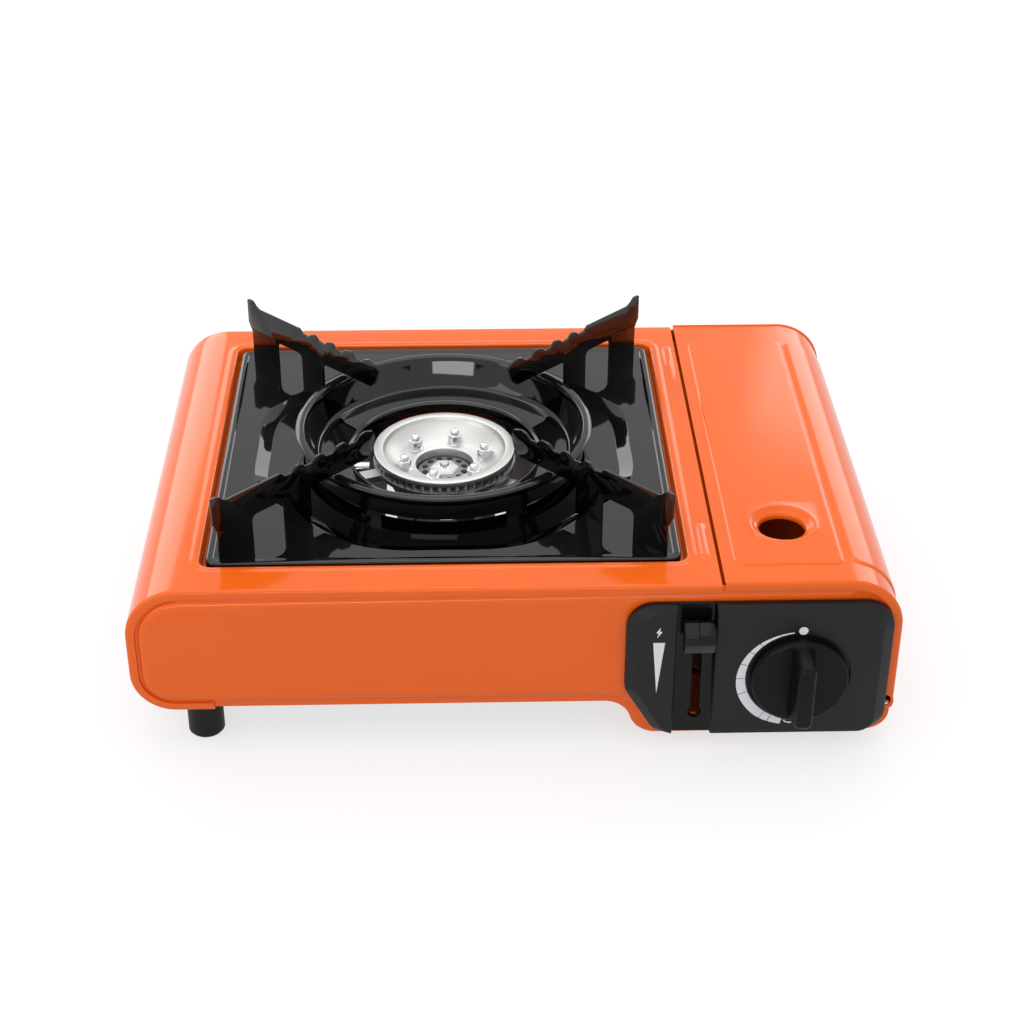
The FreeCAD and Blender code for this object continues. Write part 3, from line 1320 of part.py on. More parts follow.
body_wrap()
lid_shell()
hinge_pins()
front_panel()
rear_panel()
panel_screws()
base_plate()
can_trough()
partition_plate()
drip_tray()
wind_ring()
pan_support("pan_support_rear_right", "arm_angle")
pan_support("pan_support_rear_left", "180 - arm_angle")
pan_support("pan_support_front_left", "180 + arm_angle")
pan_support("pan_support_front_right", "360 - arm_angle")
burner_head()
burner_cap()
burner_bolts()
burner_core()
burner_bracket()
ignition()
gas_parts()
regulator()
can_carrier()
can_cradles()
lever()
fascia()
fascia_screws()
control_knob()
feet()
doc.recompute()

broken = [item.Name for item in doc.Objects if "Invalid" in item.State or "Error" in item.State]
broken += [item.Label for item in nodes if item.Shape.isNull() or not item.Shape.isValid()]
if broken:
    raise RuntimeError("failed: " + ", ".join(broken))

os.makedirs("parts", exist_ok=True)
for item in nodes:
    item.Shape.exportStep(f"parts/{item.Label}.step")
print(len(nodes), "sub-parts")
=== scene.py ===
"""Looks of a butane cassette stove, laid out as an add-on and run as a script.

The packed model is the frame. Lengths inside the builders are millimetres in the frame's axes:
+X to the cartridge side, +Y to the back, +Z up. The control panel faces -Y.
"""

import json
import math

import bmesh
import bpy
from bpy.props import FloatProperty, FloatVectorProperty, IntProperty, PointerProperty
from mathutils import Matrix, Vector


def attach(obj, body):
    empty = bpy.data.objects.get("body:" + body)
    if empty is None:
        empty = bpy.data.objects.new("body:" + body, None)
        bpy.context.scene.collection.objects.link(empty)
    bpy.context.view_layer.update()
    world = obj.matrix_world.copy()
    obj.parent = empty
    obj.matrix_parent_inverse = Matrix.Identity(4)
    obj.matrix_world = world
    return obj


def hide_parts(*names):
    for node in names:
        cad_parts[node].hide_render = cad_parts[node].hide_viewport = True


bl_info = {
    "name": "Cassette Stove",
    "version": (1, 0, 0),
    "blender": (4, 5, 0),
    "location": "View3D > Sidebar > Stove",
    "description": "Builds the visible skin of a tabletop butane stove around its packed model",
    "category": "Object",
}

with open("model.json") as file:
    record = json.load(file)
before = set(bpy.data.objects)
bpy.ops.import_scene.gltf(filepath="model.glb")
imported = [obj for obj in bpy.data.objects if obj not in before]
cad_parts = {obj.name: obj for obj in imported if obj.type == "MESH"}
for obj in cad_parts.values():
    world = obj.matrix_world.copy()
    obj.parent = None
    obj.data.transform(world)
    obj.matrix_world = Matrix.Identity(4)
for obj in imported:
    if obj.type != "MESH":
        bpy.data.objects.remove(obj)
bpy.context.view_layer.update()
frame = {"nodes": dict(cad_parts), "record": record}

MM = 0.001
FRONT = -109.25
BACK = 135.75
MIDDLE = 13.25
PLATE = 85.0
HALF = 170.0
BURNER_X = -31.0
KNOB_X = 125.0
KNOB_Z = 40.0
SEAM_LEFT = 89.25
SEAM_RIGHT = 90.75
LID_TOP = 86.2
HINGE = (166.5, 20.0)
LEVER = (79.5, -27.25, 44.0)
LEVER_TILT = 12.0
PANEL_FACE = FRONT - 6.0
PANEL_EDGES = (48.3, 165.5, 8.4, 77.0)
KEYHOLE_Z = 18.9
OPENING = (107.5, 103.0, 6.0)
LOW_SKIN = 21.0
LID_FOOT = 20.0
FINGER = (121.6, FRONT + 47.3)
RING_SEAT = 67.0
ARM_TURNS = (("rear_right", 44.2), ("rear_left", 135.8), ("front_left", 224.2),
             ("front_right", 315.8))
CAP_TOP = PLATE - 1.0
DISH = 9.0


def length(name, millimetres, note):
    return FloatProperty(name=name, description=note, default=millimetres * MM, unit="LENGTH",
                         precision=4)


def paint(name, colour, note):
    return FloatVectorProperty(name=name, description=note, default=colour, size=3, min=0.0,
                               max=1.0, subtype="COLOR")


class StoveSizes(bpy.types.PropertyGroup):
    """Sizes of the pressed sheet and of the parts that a user would change."""
    sheet: length("Sheet", 1.0, "Thickness of the pressed steel")
    top_bend: length("Top bend", 24.5, "Outside radius between the top and the sides")
    low_bend: length("Low bend", 19.5, "Outside radius under the left side")
    rim: length("Rim", 4.0, "Width of the flange round both ends")
    fold: length("Fold", 1.4, "Radius of the fold between the top and the rim")
    bead: length("Bead", 0.35, "Height of the pressed bead round the tray opening")
    crease: length("Crease", 0.8, "Height of the pressed panel on the lid")
    pillow: length("Pillow", 1.0, "How far the front field stands out of its groove")
    arm_sheet: length("Arm sheet", 1.2, "Thickness of a pan support")
    tray_step: length("Tray step", 2.8, "How far the middle of the tray lies below its edge")
    ring_lip: length("Ring lip", 12.8, "Height of the wind ring above the top plate")
    burner_radius: length("Burner radius", 34.0, "Outside radius of the burner")
    knob_radius: length("Knob radius", 21.4, "Radius of the control knob's disc")
    ports: IntProperty(name="Ports", description="Flame ports round the burner", default=48,
                       min=12, max=96)
    posts: IntProperty(name="Posts", description="Nuts that hold the burner cap", default=6,
                       min=3, max=12)


class StoveColours(bpy.types.PropertyGroup):
    """Colours of the finishes."""
    orange: paint("Orange enamel", (0.84, 0.126, 0.008), "Glossy stove enamel of the body")
    black: paint("Black enamel", (0.0012, 0.0012, 0.0013), "Vitreous enamel of tray and arms")
    plastic: paint("Plastic", (0.0065, 0.0065, 0.007), "Satin plastic of the control panel")
    knob: paint("Knob", (0.0035, 0.0035, 0.0035), "Plastic of the knob and the lever")
    alloy: paint("Aluminium", (0.60, 0.595, 0.58), "Turned aluminium of the burner")
    bright: paint("Plated steel", (0.75, 0.75, 0.76), "Nuts, screws and pins")
    steel: paint("Steel", (0.26, 0.26, 0.27), "Zinc coated steel inside the body")
    brass: paint("Brass", (0.70, 0.50, 0.22), "Gas fittings")
    print_white: paint("Print", (0.76, 0.76, 0.80), "Marks printed on the control panel")
    rubber: paint("Rubber", (0.006, 0.006, 0.0065), "Feet")


def sizes():
    return bpy.context.scene.stove_sizes


def colours():
    return bpy.context.scene.stove_colours


def mm(value):
    return value / MM


# Outlines and meshes


def blend(low, high, at):
    """Smooth rise from 0 at low to 1 at high."""
    t = min(max((at - low) / (high - low), 0.0), 1.0)
    return t * t * (3.0 - 2.0 * t)


def round_off(corners, inset=0.0, steps=6):
    """Points of an anticlockwise outline with corners (x, y, radius), moved inwards by inset."""
    points = []
    for index, (x, y, radius) in enumerate(corners):
        here = Vector((x, y))
        run_in = (here - Vector(corners[index - 1][:2])).normalized()
        run_out = (Vector(corners[(index + 1) % len(corners)][:2]) - here).normalized()
        turn = math.atan2(run_in.x * run_out.y - run_in.y * run_out.x, run_in.dot(run_out))
        side_in = Vector((-run_in.y, run_in.x))
        side_out = Vector((-run_out.y, run_out.x))
        corner = here + inset * (side_in + side_out) / (1.0 + side_in.dot(side_out))
        if abs(turn) < 0.001:
            points.append(corner)
            continue
        bend = max(radius - inset if turn > 0 else radius + inset, 0.03)
        start = corner - run_in * bend * math.tan(abs(turn) / 2)
        centre = start + side_in * math.copysign(bend, turn)
        arm = start - centre
        for step in range(steps + 1):
            angle = turn * step / steps
            points.append(centre + Vector((arm.x * math.cos(angle) - arm.y * math.sin(angle),
                                           arm.x * math.sin(angle) + arm.y * math.cos(angle))))
    return points


def rectangle(x, y, width, height, radius):
    """Corners of a rectangle about (x, y), all with one radius."""
    return [(x - width / 2, y - height / 2, radius), (x + width / 2, y - height / 2, radius),
            (x + width / 2, y + height / 2, radius), (x - width / 2, y + height / 2, radius)]


def circle(centre, radius, count):
    """Points round a centre, anticlockwise in their plane."""
    return [(centre[0] + radius * math.cos(math.tau * k / count),
             centre[1] + radius * math.sin(math.tau * k / count)) for k in range(count)]


def loft(bm, rings, closed=True, first=False, last=False):
    """Quads between rings of points that have the same count, with optional end faces."""
    rows = [[bm.verts.new(point) for point in ring] for ring in rings]
    bridge(bm, rows, closed)
    if first:
        bm.faces.new(list(reversed(rows[0])))
    if last:
        bm.faces.new(rows[-1])
    return rows


def bridge(bm, rows, closed=True):
    """Faces between rows of vertices."""
    for near, far in zip(rows, rows[1:]):
        count = len(near)
        for index in range(count if closed else count - 1):
            after = (index + 1) % count
            bm.faces.new((near[index], near[after], far[after], far[index]))


def turn_profile(bm, profile, centre, segments=96, shape=None, start=0.0, end=360.0):
    """Turn (radius, z) points about a vertical axis; shape may change a radius by its angle."""
    whole = end - start >= 360.0
    rows = []
    for radius, z in profile:
        ring = []
        for step in range(segments if whole else segments + 1):
            angle = math.radians(start + (end - start) * step / segments)
            reach = shape(radius, z, angle) if shape else radius
            ring.append((centre[0] + reach * math.cos(angle), centre[1] + reach * math.sin(angle),
                         centre[2] + z))
        rows.append([bm.verts.new(point) for point in ring])
    bridge(bm, rows, whole)
    return rows


def slab(bm, corners, place, low, high, edge, steps=6):
    """A plate between two depths whose edges are broken; place(u, v, depth) puts it in space."""
    rows = []
    for inset, depth in ((edge, low), (edge * 0.3, low + edge * 0.3), (0, low + edge),
                         (0, high - edge), (edge * 0.3, high - edge * 0.3), (edge, high)):
        rows.append([place(p.x, p.y, depth) for p in round_off(corners, inset, steps)])
    loft(bm, rows, first=True, last=True)


def tidy(bm):
    """Merge doubles, turn the faces outwards and bring millimetres to metres."""
    bmesh.ops.remove_doubles(bm, verts=bm.verts, dist=0.0005)
    bmesh.ops.recalc_face_normals(bm, faces=bm.faces)
    bmesh.ops.scale(bm, vec=(MM, MM, MM), verts=bm.verts)


def make_object(name, bm, material):
    """An object from bm, which is used up."""
    mesh = bpy.data.meshes.new(name)
    bm.to_mesh(mesh)
    bm.free()
    piece = bpy.data.objects.new(name, mesh)
    bpy.context.scene.collection.objects.link(piece)
    mesh.materials.append(material)
    return piece


def bake(piece):
    """Apply the modifiers so that a plain mesh is left."""
    graph = bpy.context.evaluated_depsgraph_get()
    mesh = bpy.data.meshes.new_from_object(piece.evaluated_get(graph))
    old = piece.data
    piece.modifiers.clear()
    piece.data = mesh
    mesh.name = piece.name
    bpy.data.meshes.remove(old)
    return piece


def shade(piece, angle=35.0):
    """Smooth faces, with hard edges where they turn by more than angle."""
    mesh = piece.data
    mesh.shade_smooth()
    mesh.set_sharp_from_angle(angle=math.radians(angle))
    return piece


def solid(name, bm, material, slot, body="root", nodes=(), angle=35.0):
    """A closed piece in the frame."""
    tidy(bm)
    return settle(make_object(name, bm, material), slot, body, nodes, angle)


def sheet(name, bm, material, slot, thickness, body="root", nodes=(), angle=35.0, keep=False):
    """A pressed sheet: its outer face is in bm with the normals outwards."""
    bmesh.ops.remove_doubles(bm, verts=bm.verts, dist=0.0005)
    bmesh.ops.scale(bm, vec=(MM, MM, MM), verts=bm.verts)
    piece = make_object(name, bm, material)
    wall = piece.modifiers.new("wall", "SOLIDIFY")
    wall.thickness = thickness * MM
    wall.offset = -1.0
    wall.use_even_offset = False
    bake(piece)
    if keep:
        return piece
    return settle(piece, slot, body, nodes, angle)


def settle(piece, slot, body, nodes, angle=35.0):
    """Give a finished piece to its body, the nodes it stands for and its slot."""
    shade(piece, angle)
    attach(piece, body)
    if nodes:
        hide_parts(*nodes)
    return piece


def carve(piece, cutters):
    """Cut closed shapes out of a piece."""
    for index, bm in enumerate(cutters):
        tidy(bm)
        tool = make_object(f"cutter_{index}", bm, piece.data.materials[0])
        change = piece.modifiers.new("carve", "BOOLEAN")
        change.operation = "DIFFERENCE"
        change.solver = "EXACT"
        change.object = tool
        bake(piece)
        mesh = tool.data
        bpy.data.objects.remove(tool)
        bpy.data.meshes.remove(mesh)
    return piece


def front_place(u, v, depth):
    """Upright, facing the front: depth runs along Y."""
    return (u, depth, v)


def flat_place(u, v, depth):
    """Lying flat: depth runs along Z."""
    return (u, v, depth)


def drilled(x, z, radius, low, high, segments=24):
    """A closed rod along Y, for a hole."""
    bm = bmesh.new()
    loft(bm, [[(u, depth, v) for u, v in circle((x, z), radius, segments)]
              for depth in (low, high)], first=True, last=True)
    return bm


# Skins: a section is carried from the front to the back, and an opening is let into it


def spaced(low, high, marks, fine, coarse, reach):
    """Positions from low to high, close together near the marks."""
    places = [low]
    here = low
    while here < high:
        near = min((abs(here + coarse / 2 - mark) for mark in marks), default=1e9)
        here += fine if near <= reach + coarse / 2 else coarse
        places.append(min(here, high))
    exact = {round(value, 4) for value in places}
    for mark in marks:
        if low < mark < high:
            exact = {value for value in exact if abs(value - mark) > fine * 0.4}
            exact.add(round(mark, 4))
    return sorted(exact)


def bend(x, z, radius, start, end, steps):
    """Samples (x, z, normal x, normal z) round a bend, without its first point."""
    samples = []
    for step in range(1, steps + 1):
        angle = math.radians(start + (end - start) * step / steps)
        samples.append((x + radius * math.cos(angle), z + radius * math.sin(angle),
                        math.cos(angle), math.sin(angle)))
    return samples


def end_rows(y, direction, rim, fold):
    """Rows (y, inwards) of a rim and its fold, from the inner edge to the skin."""
    rows = [(y, rim), (y, (rim + fold) / 2), (y, fold)]
    for step in range(1, 6):
        angle = math.radians(18 * step)
        rows.append((y + direction * fold * (1 - math.cos(angle)), fold * (1 - math.sin(angle))))
    return rows


def skin_grid(bm, samples, rows, lift, skip, flip):
    """Faces along samples and rows; lift raises a place and skip leaves a face out."""
    verts = {}
    for i, (x, z, nx, nz) in enumerate(samples):
        for j, (y, inwards) in enumerate(rows):
            out = lift(i, y) * (1.0 if inwards == 0 else 0.0) - inwards
            verts[i, j] = bm.verts.new((x + nx * out, y, z + nz * out))
    for i in range(len(samples) - 1):
        for j in range(len(rows) - 1):
            if skip(i, j):
                continue
            loop = [verts[i, j], verts[i, j + 1], verts[i + 1, j + 1], verts[i + 1, j]]
            bm.faces.new(reversed(loop) if flip else loop)
    return verts


def skin_rows(ys, rim, fold):
    """Rows (y, inwards) of a whole skin: rim, fold, ys, fold and rim."""
    rows = end_rows(FRONT, 1, rim, fold)[:-1]
    rows += [(y, 0.0) for y in ys]
    return rows + list(reversed(end_rows(BACK, -1, rim, fold)[:-1]))


def holed_skin(bm, samples, rows, flat_count, box, lift, flip):
    """A skin with a hole over box in its flat part, and the vertices round the hole."""
    columns = [i for i in range(flat_count) if box[0] - 0.01 <= samples[i][0] <= box[1] + 0.01]
    lines = [j for j, (y, inwards) in enumerate(rows)
             if inwards == 0 and box[2] - 0.01 <= y <= box[3] + 0.01]
    i_low, i_high, j_low, j_high = columns[0], columns[-1], lines[0], lines[-1]

    def skip(i, j):
        return i_low <= i < i_high and j_low <= j < j_high

    verts = skin_grid(bm, samples, rows, lift, skip, flip)
    return patch_border(verts, i_low, i_high, j_low, j_high, flip)


def patch_border(verts, i_low, i_high, j_low, j_high, flip):
    """Vertices round a hole in the grid, anticlockwise seen from above."""
    border = []
    if flip:
        border += [verts[i, j_low] for i in range(i_low, i_high)]
        border += [verts[i_high, j] for j in range(j_low, j_high)]
        border += [verts[i, j_high] for i in range(i_high, i_low, -1)]
        border += [verts[i_low, j] for j in range(j_high, j_low, -1)]
    else:
        border += [verts[i, j_low] for i in range(i_high, i_low, -1)]
        border += [verts[i_low, j] for j in range(j_low, j_high)]
        border += [verts[i, j_high] for i in range(i_low, i_high)]
        border += [verts[i_high, j] for j in range(j_high, j_low, -1)]
    return border


def on_loop(u, v, half_x, half_y, radius):
    """The point of a rounded rectangle that belongs to (u, v) on the unit square's edge."""
    x, y = u * half_x, v * half_y
    core_x, core_y = half_x - radius, half_y - radius
    over_x, over_y = abs(x) - core_x, abs(y) - core_y
    if over_x > 0 and over_y > 0:
        shrink = radius / math.hypot(over_x, over_y)
        x = math.copysign(core_x + over_x * shrink, x)
        y = math.copysign(core_y + over_y * shrink, y)
    return x, y


def let_in(bm, border, box, centre, loops):
    """Rings of faces from the border of a hole down to the last of loops.

    box is the hole in the grid as (x low, x high, y low, y high); loops are
    (half x, half y, radius, z) about the centre.
    """
    mid_x, mid_y = (box[0] + box[1]) / 2, (box[2] + box[3]) / 2
    half_x, half_y = (box[1] - box[0]) / 2, (box[3] - box[2]) / 2
    rows = [border]
    square = [((v.co.x - mid_x) / half_x, (v.co.y - mid_y) / half_y) for v in border]
    for loop_x, loop_y, radius, z in loops:
        ring = []
        for u, v in square:
            x, y = on_loop(u, v, loop_x, loop_y, radius)
            ring.append(bm.verts.new((centre[0] + x, centre[1] + y, z)))
        rows.append(ring)
    bridge(bm, rows)
    return rows


def build_wrap():
    s = sizes()
    top, low = mm(s.top_bend), mm(s.low_bend)
    rim, fold = mm(s.rim), mm(s.fold)
    bead = mm(s.bead)
    box = (-144.0, 81.5, MIDDLE - 108.5, MIDDLE + 108.5)
    ribs = ((84.6, 87.6, 112.0), (84.3, -88.0, -60.0))
    corners = [BURNER_X - 104, BURNER_X + 104]
    xs = spaced(-HALF + top, SEAM_LEFT, [box[0], box[1], *corners, 83.5, 86.5], 1.0, 8.0, 6.0)
    ys = spaced(FRONT + fold, BACK - fold,
                [box[2], box[3], MIDDLE - 99, MIDDLE + 99, -88, -60], 1.2, 9.0, 5.0)
    samples = [(x, PLATE, 0.0, 1.0) for x in reversed(xs)]
    samples += bend(-HALF + top, PLATE - top, top, 90, 180, 16)
    wall = PLATE - top - LOW_SKIN - low
    samples += [(-HALF, PLATE - top - wall * step / 4, -1.0, 0.0) for step in range(1, 5)]
    samples += bend(-HALF + low, LOW_SKIN + low, low, 180, 270, 12)
    samples += [(x, LOW_SKIN, 0.0, -1.0) for x in (-146.0, -140.0, -134.0)]
    rows = skin_rows(ys, rim, fold)

    def lift(i, y):
        if i >= len(xs):
            return 0.0
        x = samples[i][0]
        rise = 0.0
        for middle, start, end in ribs:
            across = 1.0 - blend(0.8, 2.2, abs(x - middle))
            along = blend(start - 1, start + 3, y) * (1.0 - blend(end - 3, end + 1, y))
            rise += across * along
        return rise

    bm = bmesh.new()
    border = holed_skin(bm, samples, rows, len(xs), box, lift, False)
    loops = []
    for out, rise in ((4.6, 0.0), (4.0, 0.25 * bead), (3.3, 0.8 * bead), (2.6, bead),
                      (1.9, 0.9 * bead), (1.3, 0.45 * bead), (0.8, 0.1 * bead),
                      (0.35, -0.1), (0.1, -0.35), (0.0, -0.8), (0.0, -6.4), (-0.6, -7.0),
                      (-5.0, -7.0)):
        loops.append((*[size + out for size in OPENING], PLATE + rise))
    let_in(bm, border, box, (BURNER_X, MIDDLE), loops)
    shelf_y = (FRONT + 5.0, BACK - 5.0)
    shelf = [(SEAM_LEFT - 2.5, PLATE - 1.0), (SEAM_LEFT - 1.2, PLATE - 1.2),
             (SEAM_LEFT - 0.6, PLATE - 5.4), (SEAM_LEFT, PLATE - 6.2),
             (SEAM_LEFT + 7.0, PLATE - 6.2), (SEAM_LEFT + 7.6, PLATE - 6.4),
             (SEAM_LEFT + 7.6, PLATE - 7.0)]
    loft(bm, [[(x, y, z) for x, z in shelf] for y in shelf_y], closed=False)
    sheet("body_shell", bm, finish("orange_enamel"), "orange_enamel", mm(s.sheet),
          nodes=["body_wrap"])


def build_lid():
    s = sizes()
    top = mm(s.top_bend)
    fold = mm(s.fold)
    crease = mm(s.crease)
    box = (FINGER[0] - 19.0, FINGER[0] + 19.0, FINGER[1] - 19.0, FINGER[1] + 19.0)
    flat_end = HALF - top
    panel = (96.6, 144.6, FRONT + 14.4, BACK - 20.6)
    side = (147.6, 260.0, FRONT + 16.0, BACK - 20.6)
    xs = spaced(SEAM_RIGHT, flat_end, [panel[0], panel[1], box[0], box[1]], 0.7, 3.0, 4.0)
    ys = spaced(FRONT + fold, BACK - fold, [panel[2], side[2], panel[3], box[2], box[3]],
                0.7, 5.0, 4.0)
    samples = [(x, LID_TOP, 0.0, 1.0) for x in xs]
    travel = list(xs)
    steps = 34
    samples += bend(flat_end, LID_TOP - top, top, 90, 0, steps)
    travel += [flat_end + top * math.pi / 2 * step / steps for step in range(1, steps + 1)]
    wall_top = LID_TOP - top
    for step in range(1, 7):
        z = wall_top - (wall_top - LID_FOOT) * step / 6
        samples.append((HALF, z, 1.0, 0.0))
        travel.append(travel[len(xs) + steps - 1] + wall_top - z)

    def within(region, at, y, radius):
        over_x = max(region[0] + radius - at, at - region[1] + radius, 0.0)
        over_y = max(region[2] + radius - y, y - region[3] + radius, 0.0)
        depth = radius - math.hypot(over_x, over_y)
        return blend(-0.55, 0.55, depth)

    def lift(i, y):
        rise = crease * (within(panel, travel[i], y, 4.0) + within(side, travel[i], y, 6.0))
        return rise - crease

    bm = bmesh.new()
    border = holed_skin(bm, samples, skin_rows(ys, mm(s.rim), fold), len(xs), box, lift, True)
    loops = [(radius, radius, radius, LID_TOP + rise) for radius, rise in (
        (17.0, 0.0), (16.4, 0.08), (15.8, 0.35), (15.1, 0.5), (14.4, 0.38), (13.7, -0.1),
        (12.9, -0.9), (12.2, -1.35), (11.4, -1.7), (10.8, -2.3), (10.6, -3.2), (10.6, -4.4))]
    let_in(bm, border, box, FINGER, loops)
    sheet("lid_skin", bm, finish("orange_enamel"), "orange_enamel", mm(s.sheet), body="lid",
          nodes=["lid_shell"])
    build_ears()


def build_ears():
    """The lid's two ears and the pins that they turn on."""
    ears = bmesh.new()
    x, z = HINGE
    outline = [(x - 3.5, z - 3.5, 3.45), (x + 3.5, z - 3.5, 3.45), (x + 3.5, z + 2.0, 0.3),
               (x + 0.4, z + 4.6, 2.0), (x - 3.5, z + 3.5, 3.4)]
    pins = bmesh.new()
    ring = circle(HINGE, 1.45, 20)
    for y, start, end in ((FRONT, FRONT + 0.5, FRONT + 4.0), (BACK - 1.0, BACK - 4.0, BACK - 0.5)):
        slab(ears, outline, front_place, y, y + 1.0, 0.1)
        loft(pins, [[(u, depth, v) for u, v in ring] for depth in (start, end)], first=True,
             last=True)
    tidy(ears)
    ears = make_object("lid_ears", ears, finish("orange_enamel"))
    carve(ears, [drilled(x, z, 1.6, y - 1.0, y + 1.0) for y in (FRONT + 0.5, BACK - 0.5)])
    settle(ears, "orange_enamel", "lid", ())
    solid("hinge_pins", pins, finish("bright_steel"), "bright_steel", nodes=["lid_hinge_pins"])


def end_corners():
    """Outline of the front panel, inside the skins."""
    drop, run = 17.7, 23.5
    radius = (run ** 2 + drop ** 2) / (4 * drop)
    cut = (run ** 2 + drop ** 2) / (4 * run)
    left, right = -HALF + 1.3, HALF - 1.3
    low, step, top = LOW_SKIN + 1.3, 4.6, PLATE - 1.3
    return [(left, low, 18.2), (40.0 + cut, low, radius), (40.0 + run - cut, step, radius),
            (right, step, 10.0), (right, top, 23.2), (left, top, 23.2)]


def build_front():
    s = sizes()
    proud = mm(s.pillow)
    plate = FRONT + 1.3
    groove = 4.2

    def point(p, depth):
        fade = 1.0 - blend(138.0, 144.0, p.x)
        return (p.x, plate + (depth - plate) * fade, p.y)

    rings = []
    for inset, depth in ((0.0, plate), (groove - 0.2, plate), (groove + 0.1, plate - 0.3),
                         (groove + 0.4, FRONT + 0.2), (groove + 1.0, FRONT - 0.45 * proud),
                         (groove + 1.9, FRONT - 0.8 * proud), (groove + 3.2, FRONT - proud),
                         (groove + 5.0, FRONT - 0.97 * proud), (groove + 8.0, FRONT - 0.9 * proud),
                         (groove + 8.4, FRONT - 0.9 * proud)):
        rings.append([point(p, depth) for p in round_off(end_corners(), inset, 14)])
    bm = bmesh.new()
    loft(bm, rings, last=True)
    panel = sheet("front_skin", bm, finish("orange_enamel"), "orange_enamel", mm(s.sheet),
                  keep=True)
    slot = bmesh.new()
    slab(slot, rectangle(LEVER[0] + 1.0, 42.0, 7.0, 52.0, 1.0), front_place, FRONT - 3,
         FRONT + 4, 0.1)
    carve(panel, [slot, drilled(KNOB_X, KNOB_Z, 5.0, FRONT - 4, FRONT + 4),
                  drilled(HINGE[0], HINGE[1], 1.6, FRONT - 4, FRONT + 4)])
    settle(panel, "orange_enamel", "root", ["front_panel"])


def build_tray():
    s = sizes()
    step = mm(s.tray_step)
    half_x, half_y = 105.0, 100.5
    count = 40
    line = [math.sin(math.pi / 2 * (2 * k / count - 1)) for k in range(count)]
    square = [(t, -1.0) for t in line] + [(1.0, t) for t in line]
    square += [(-t, 1.0) for t in line] + [(-1.0, -t) for t in line]

    def octagon(radius, u, v):
        x, y = on_loop(u, v, radius, radius, radius)
        swell = 1.0 - 0.022 * math.cos(8 * math.atan2(y, x))
        return x * swell, y * swell

    rings = []
    for inset, z in ((0.0, -6.7), (0.0, -1.2), (0.2, -0.7), (0.6, -0.4), (1.2, -0.3),
                     (2.8, -0.3), (3.2, -0.4), (3.6, -0.7), (4.0, -0.8), (5.0, -0.8)):
        rings.append([(*on_loop(u, v, half_x - inset, half_y - inset, 5.5 - inset), z)
                      for u, v in square])
    flat = -0.8
    for radius, z in ((93.0, flat), (92.0, flat), (91.5, flat - 0.08), (91.0, flat - 0.3),
                      (85.4, flat - step + 0.3), (84.9, flat - step + 0.08),
                      (84.4, flat - step)):
        rings.append([(*octagon(radius, u, v), z) for u, v in square])
    for radius, z in ((78.0, flat - step), (63.6, flat - step), (62.8, flat - step - 0.3),
                      (62.4, flat - step - 0.9), (62.3, flat - step - 2.5)):
        rings.append([(*on_loop(u, v, radius, radius, radius), z) for u, v in square])
    bm = bmesh.new()
    loft(bm, [[(BURNER_X + x, MIDDLE + y, PLATE + z) for x, y, z in ring] for ring in rings])
    sheet("tray_skin", bm, finish("black_enamel"), "black_enamel", 0.8, body="tray",
          nodes=["drip_tray"])


def build_ring():
    s = sizes()
    lip = mm(s.ring_lip)
    centre = (BURNER_X, MIDDLE, PLATE)
    outer = [(RING_SEAT, 0.0), (67.3, 3.4), (68.6, 7.0), (69.8, 10.4), (70.5, 11.2), (70.6, 11.9),
             (70.1, 12.5), (69.4, lip)]
    inner = [(67.2, lip), (66.5, lip - 0.2), (66.0, lip - 0.8), (65.4, 9.5), (61.8, 1.0),
             (61.0, -0.6), (60.0, -1.4), (58.6, -1.7), (47.4, -1.7), (45.8, -2.1), (45.0, -2.8),
             (44.8, -3.8), (44.8, -6.0)]
    bm = bmesh.new()
    rows = turn_profile(bm, outer + inner, centre, 160)
    half = math.degrees(5.5 / RING_SEAT)
    for angle in (60, 120, 240, 300):
        turn_profile(bm, [(RING_SEAT, z) for z in (-3.6, -1.0, 0.0)], centre, 6,
                     start=angle - half, end=angle + half)
    bm.normal_update()
    outwards = (rows[2][0].co - Vector(centre)).xy
    if rows[2][0].link_faces[0].normal.xy.dot(outwards) < 0:
        bmesh.ops.reverse_faces(bm, faces=bm.faces)
    sheet("ring_skin", bm, finish("black_enamel"), "black_enamel", 0.9, body="tray",
          nodes=["wind_ring"])


def arm_corners():
    """Outline of one pan support: distance from the burner axis, height above the top plate."""
    points = [(49.5, 13.6, 1.5), (84.2, 13.4, 2.6), (84.2, -2.3, 0.2), (85.2, -2.3, 0.2),
              (90.0, -0.85, 0.3), (100.0, -0.85, 0.2), (100.0, 13.4, 2.8), (118.3, 13.4, 2.8),
              (118.3, -0.85, 0.2), (137.5, -0.85, 0.2), (137.5, 13.6, 1.8), (140.0, 18.0, 1.8),
              (140.0, 31.0, 0.9), (136.2, 31.0, 1.8), (134.0, 28.9, 1.8), (131.2, 27.5, 1.2),
              (102.6, 27.5, 0.9)]
    for tooth in (96.3, 84.4, 71.8, 57.8):
        points += [(tooth + 5.0, 27.8, 1.6), (tooth + 2.3, 25.4, 1.4), (tooth - 1.6, 25.1, 1.4),
                   (tooth - 4.4, 27.3, 1.2)]
    points += [(50.0, 28.2, 2.6), (45.2, 26.6, 2.4), (44.3, 22.6, 2.2), (46.0, 17.0, 2.0)]
    return points


def build_arms():
    half = mm(sizes().arm_sheet) / 2
    corners = arm_corners()
    for name, turn in ARM_TURNS:
        angle = math.radians(turn)

        def place(u, v, depth, angle=angle):
            return (BURNER_X + u * math.cos(angle) - depth * math.sin(angle),
                    MIDDLE + u * math.sin(angle) + depth * math.cos(angle), PLATE + v)

        bm = bmesh.new()
        slab(bm, corners, place, -half, half, 0.22, 5)
        solid(f"arm_{name}", bm, finish("black_enamel"), "black_enamel", "tray",
              [f"pan_support_{name}"], 30.0)


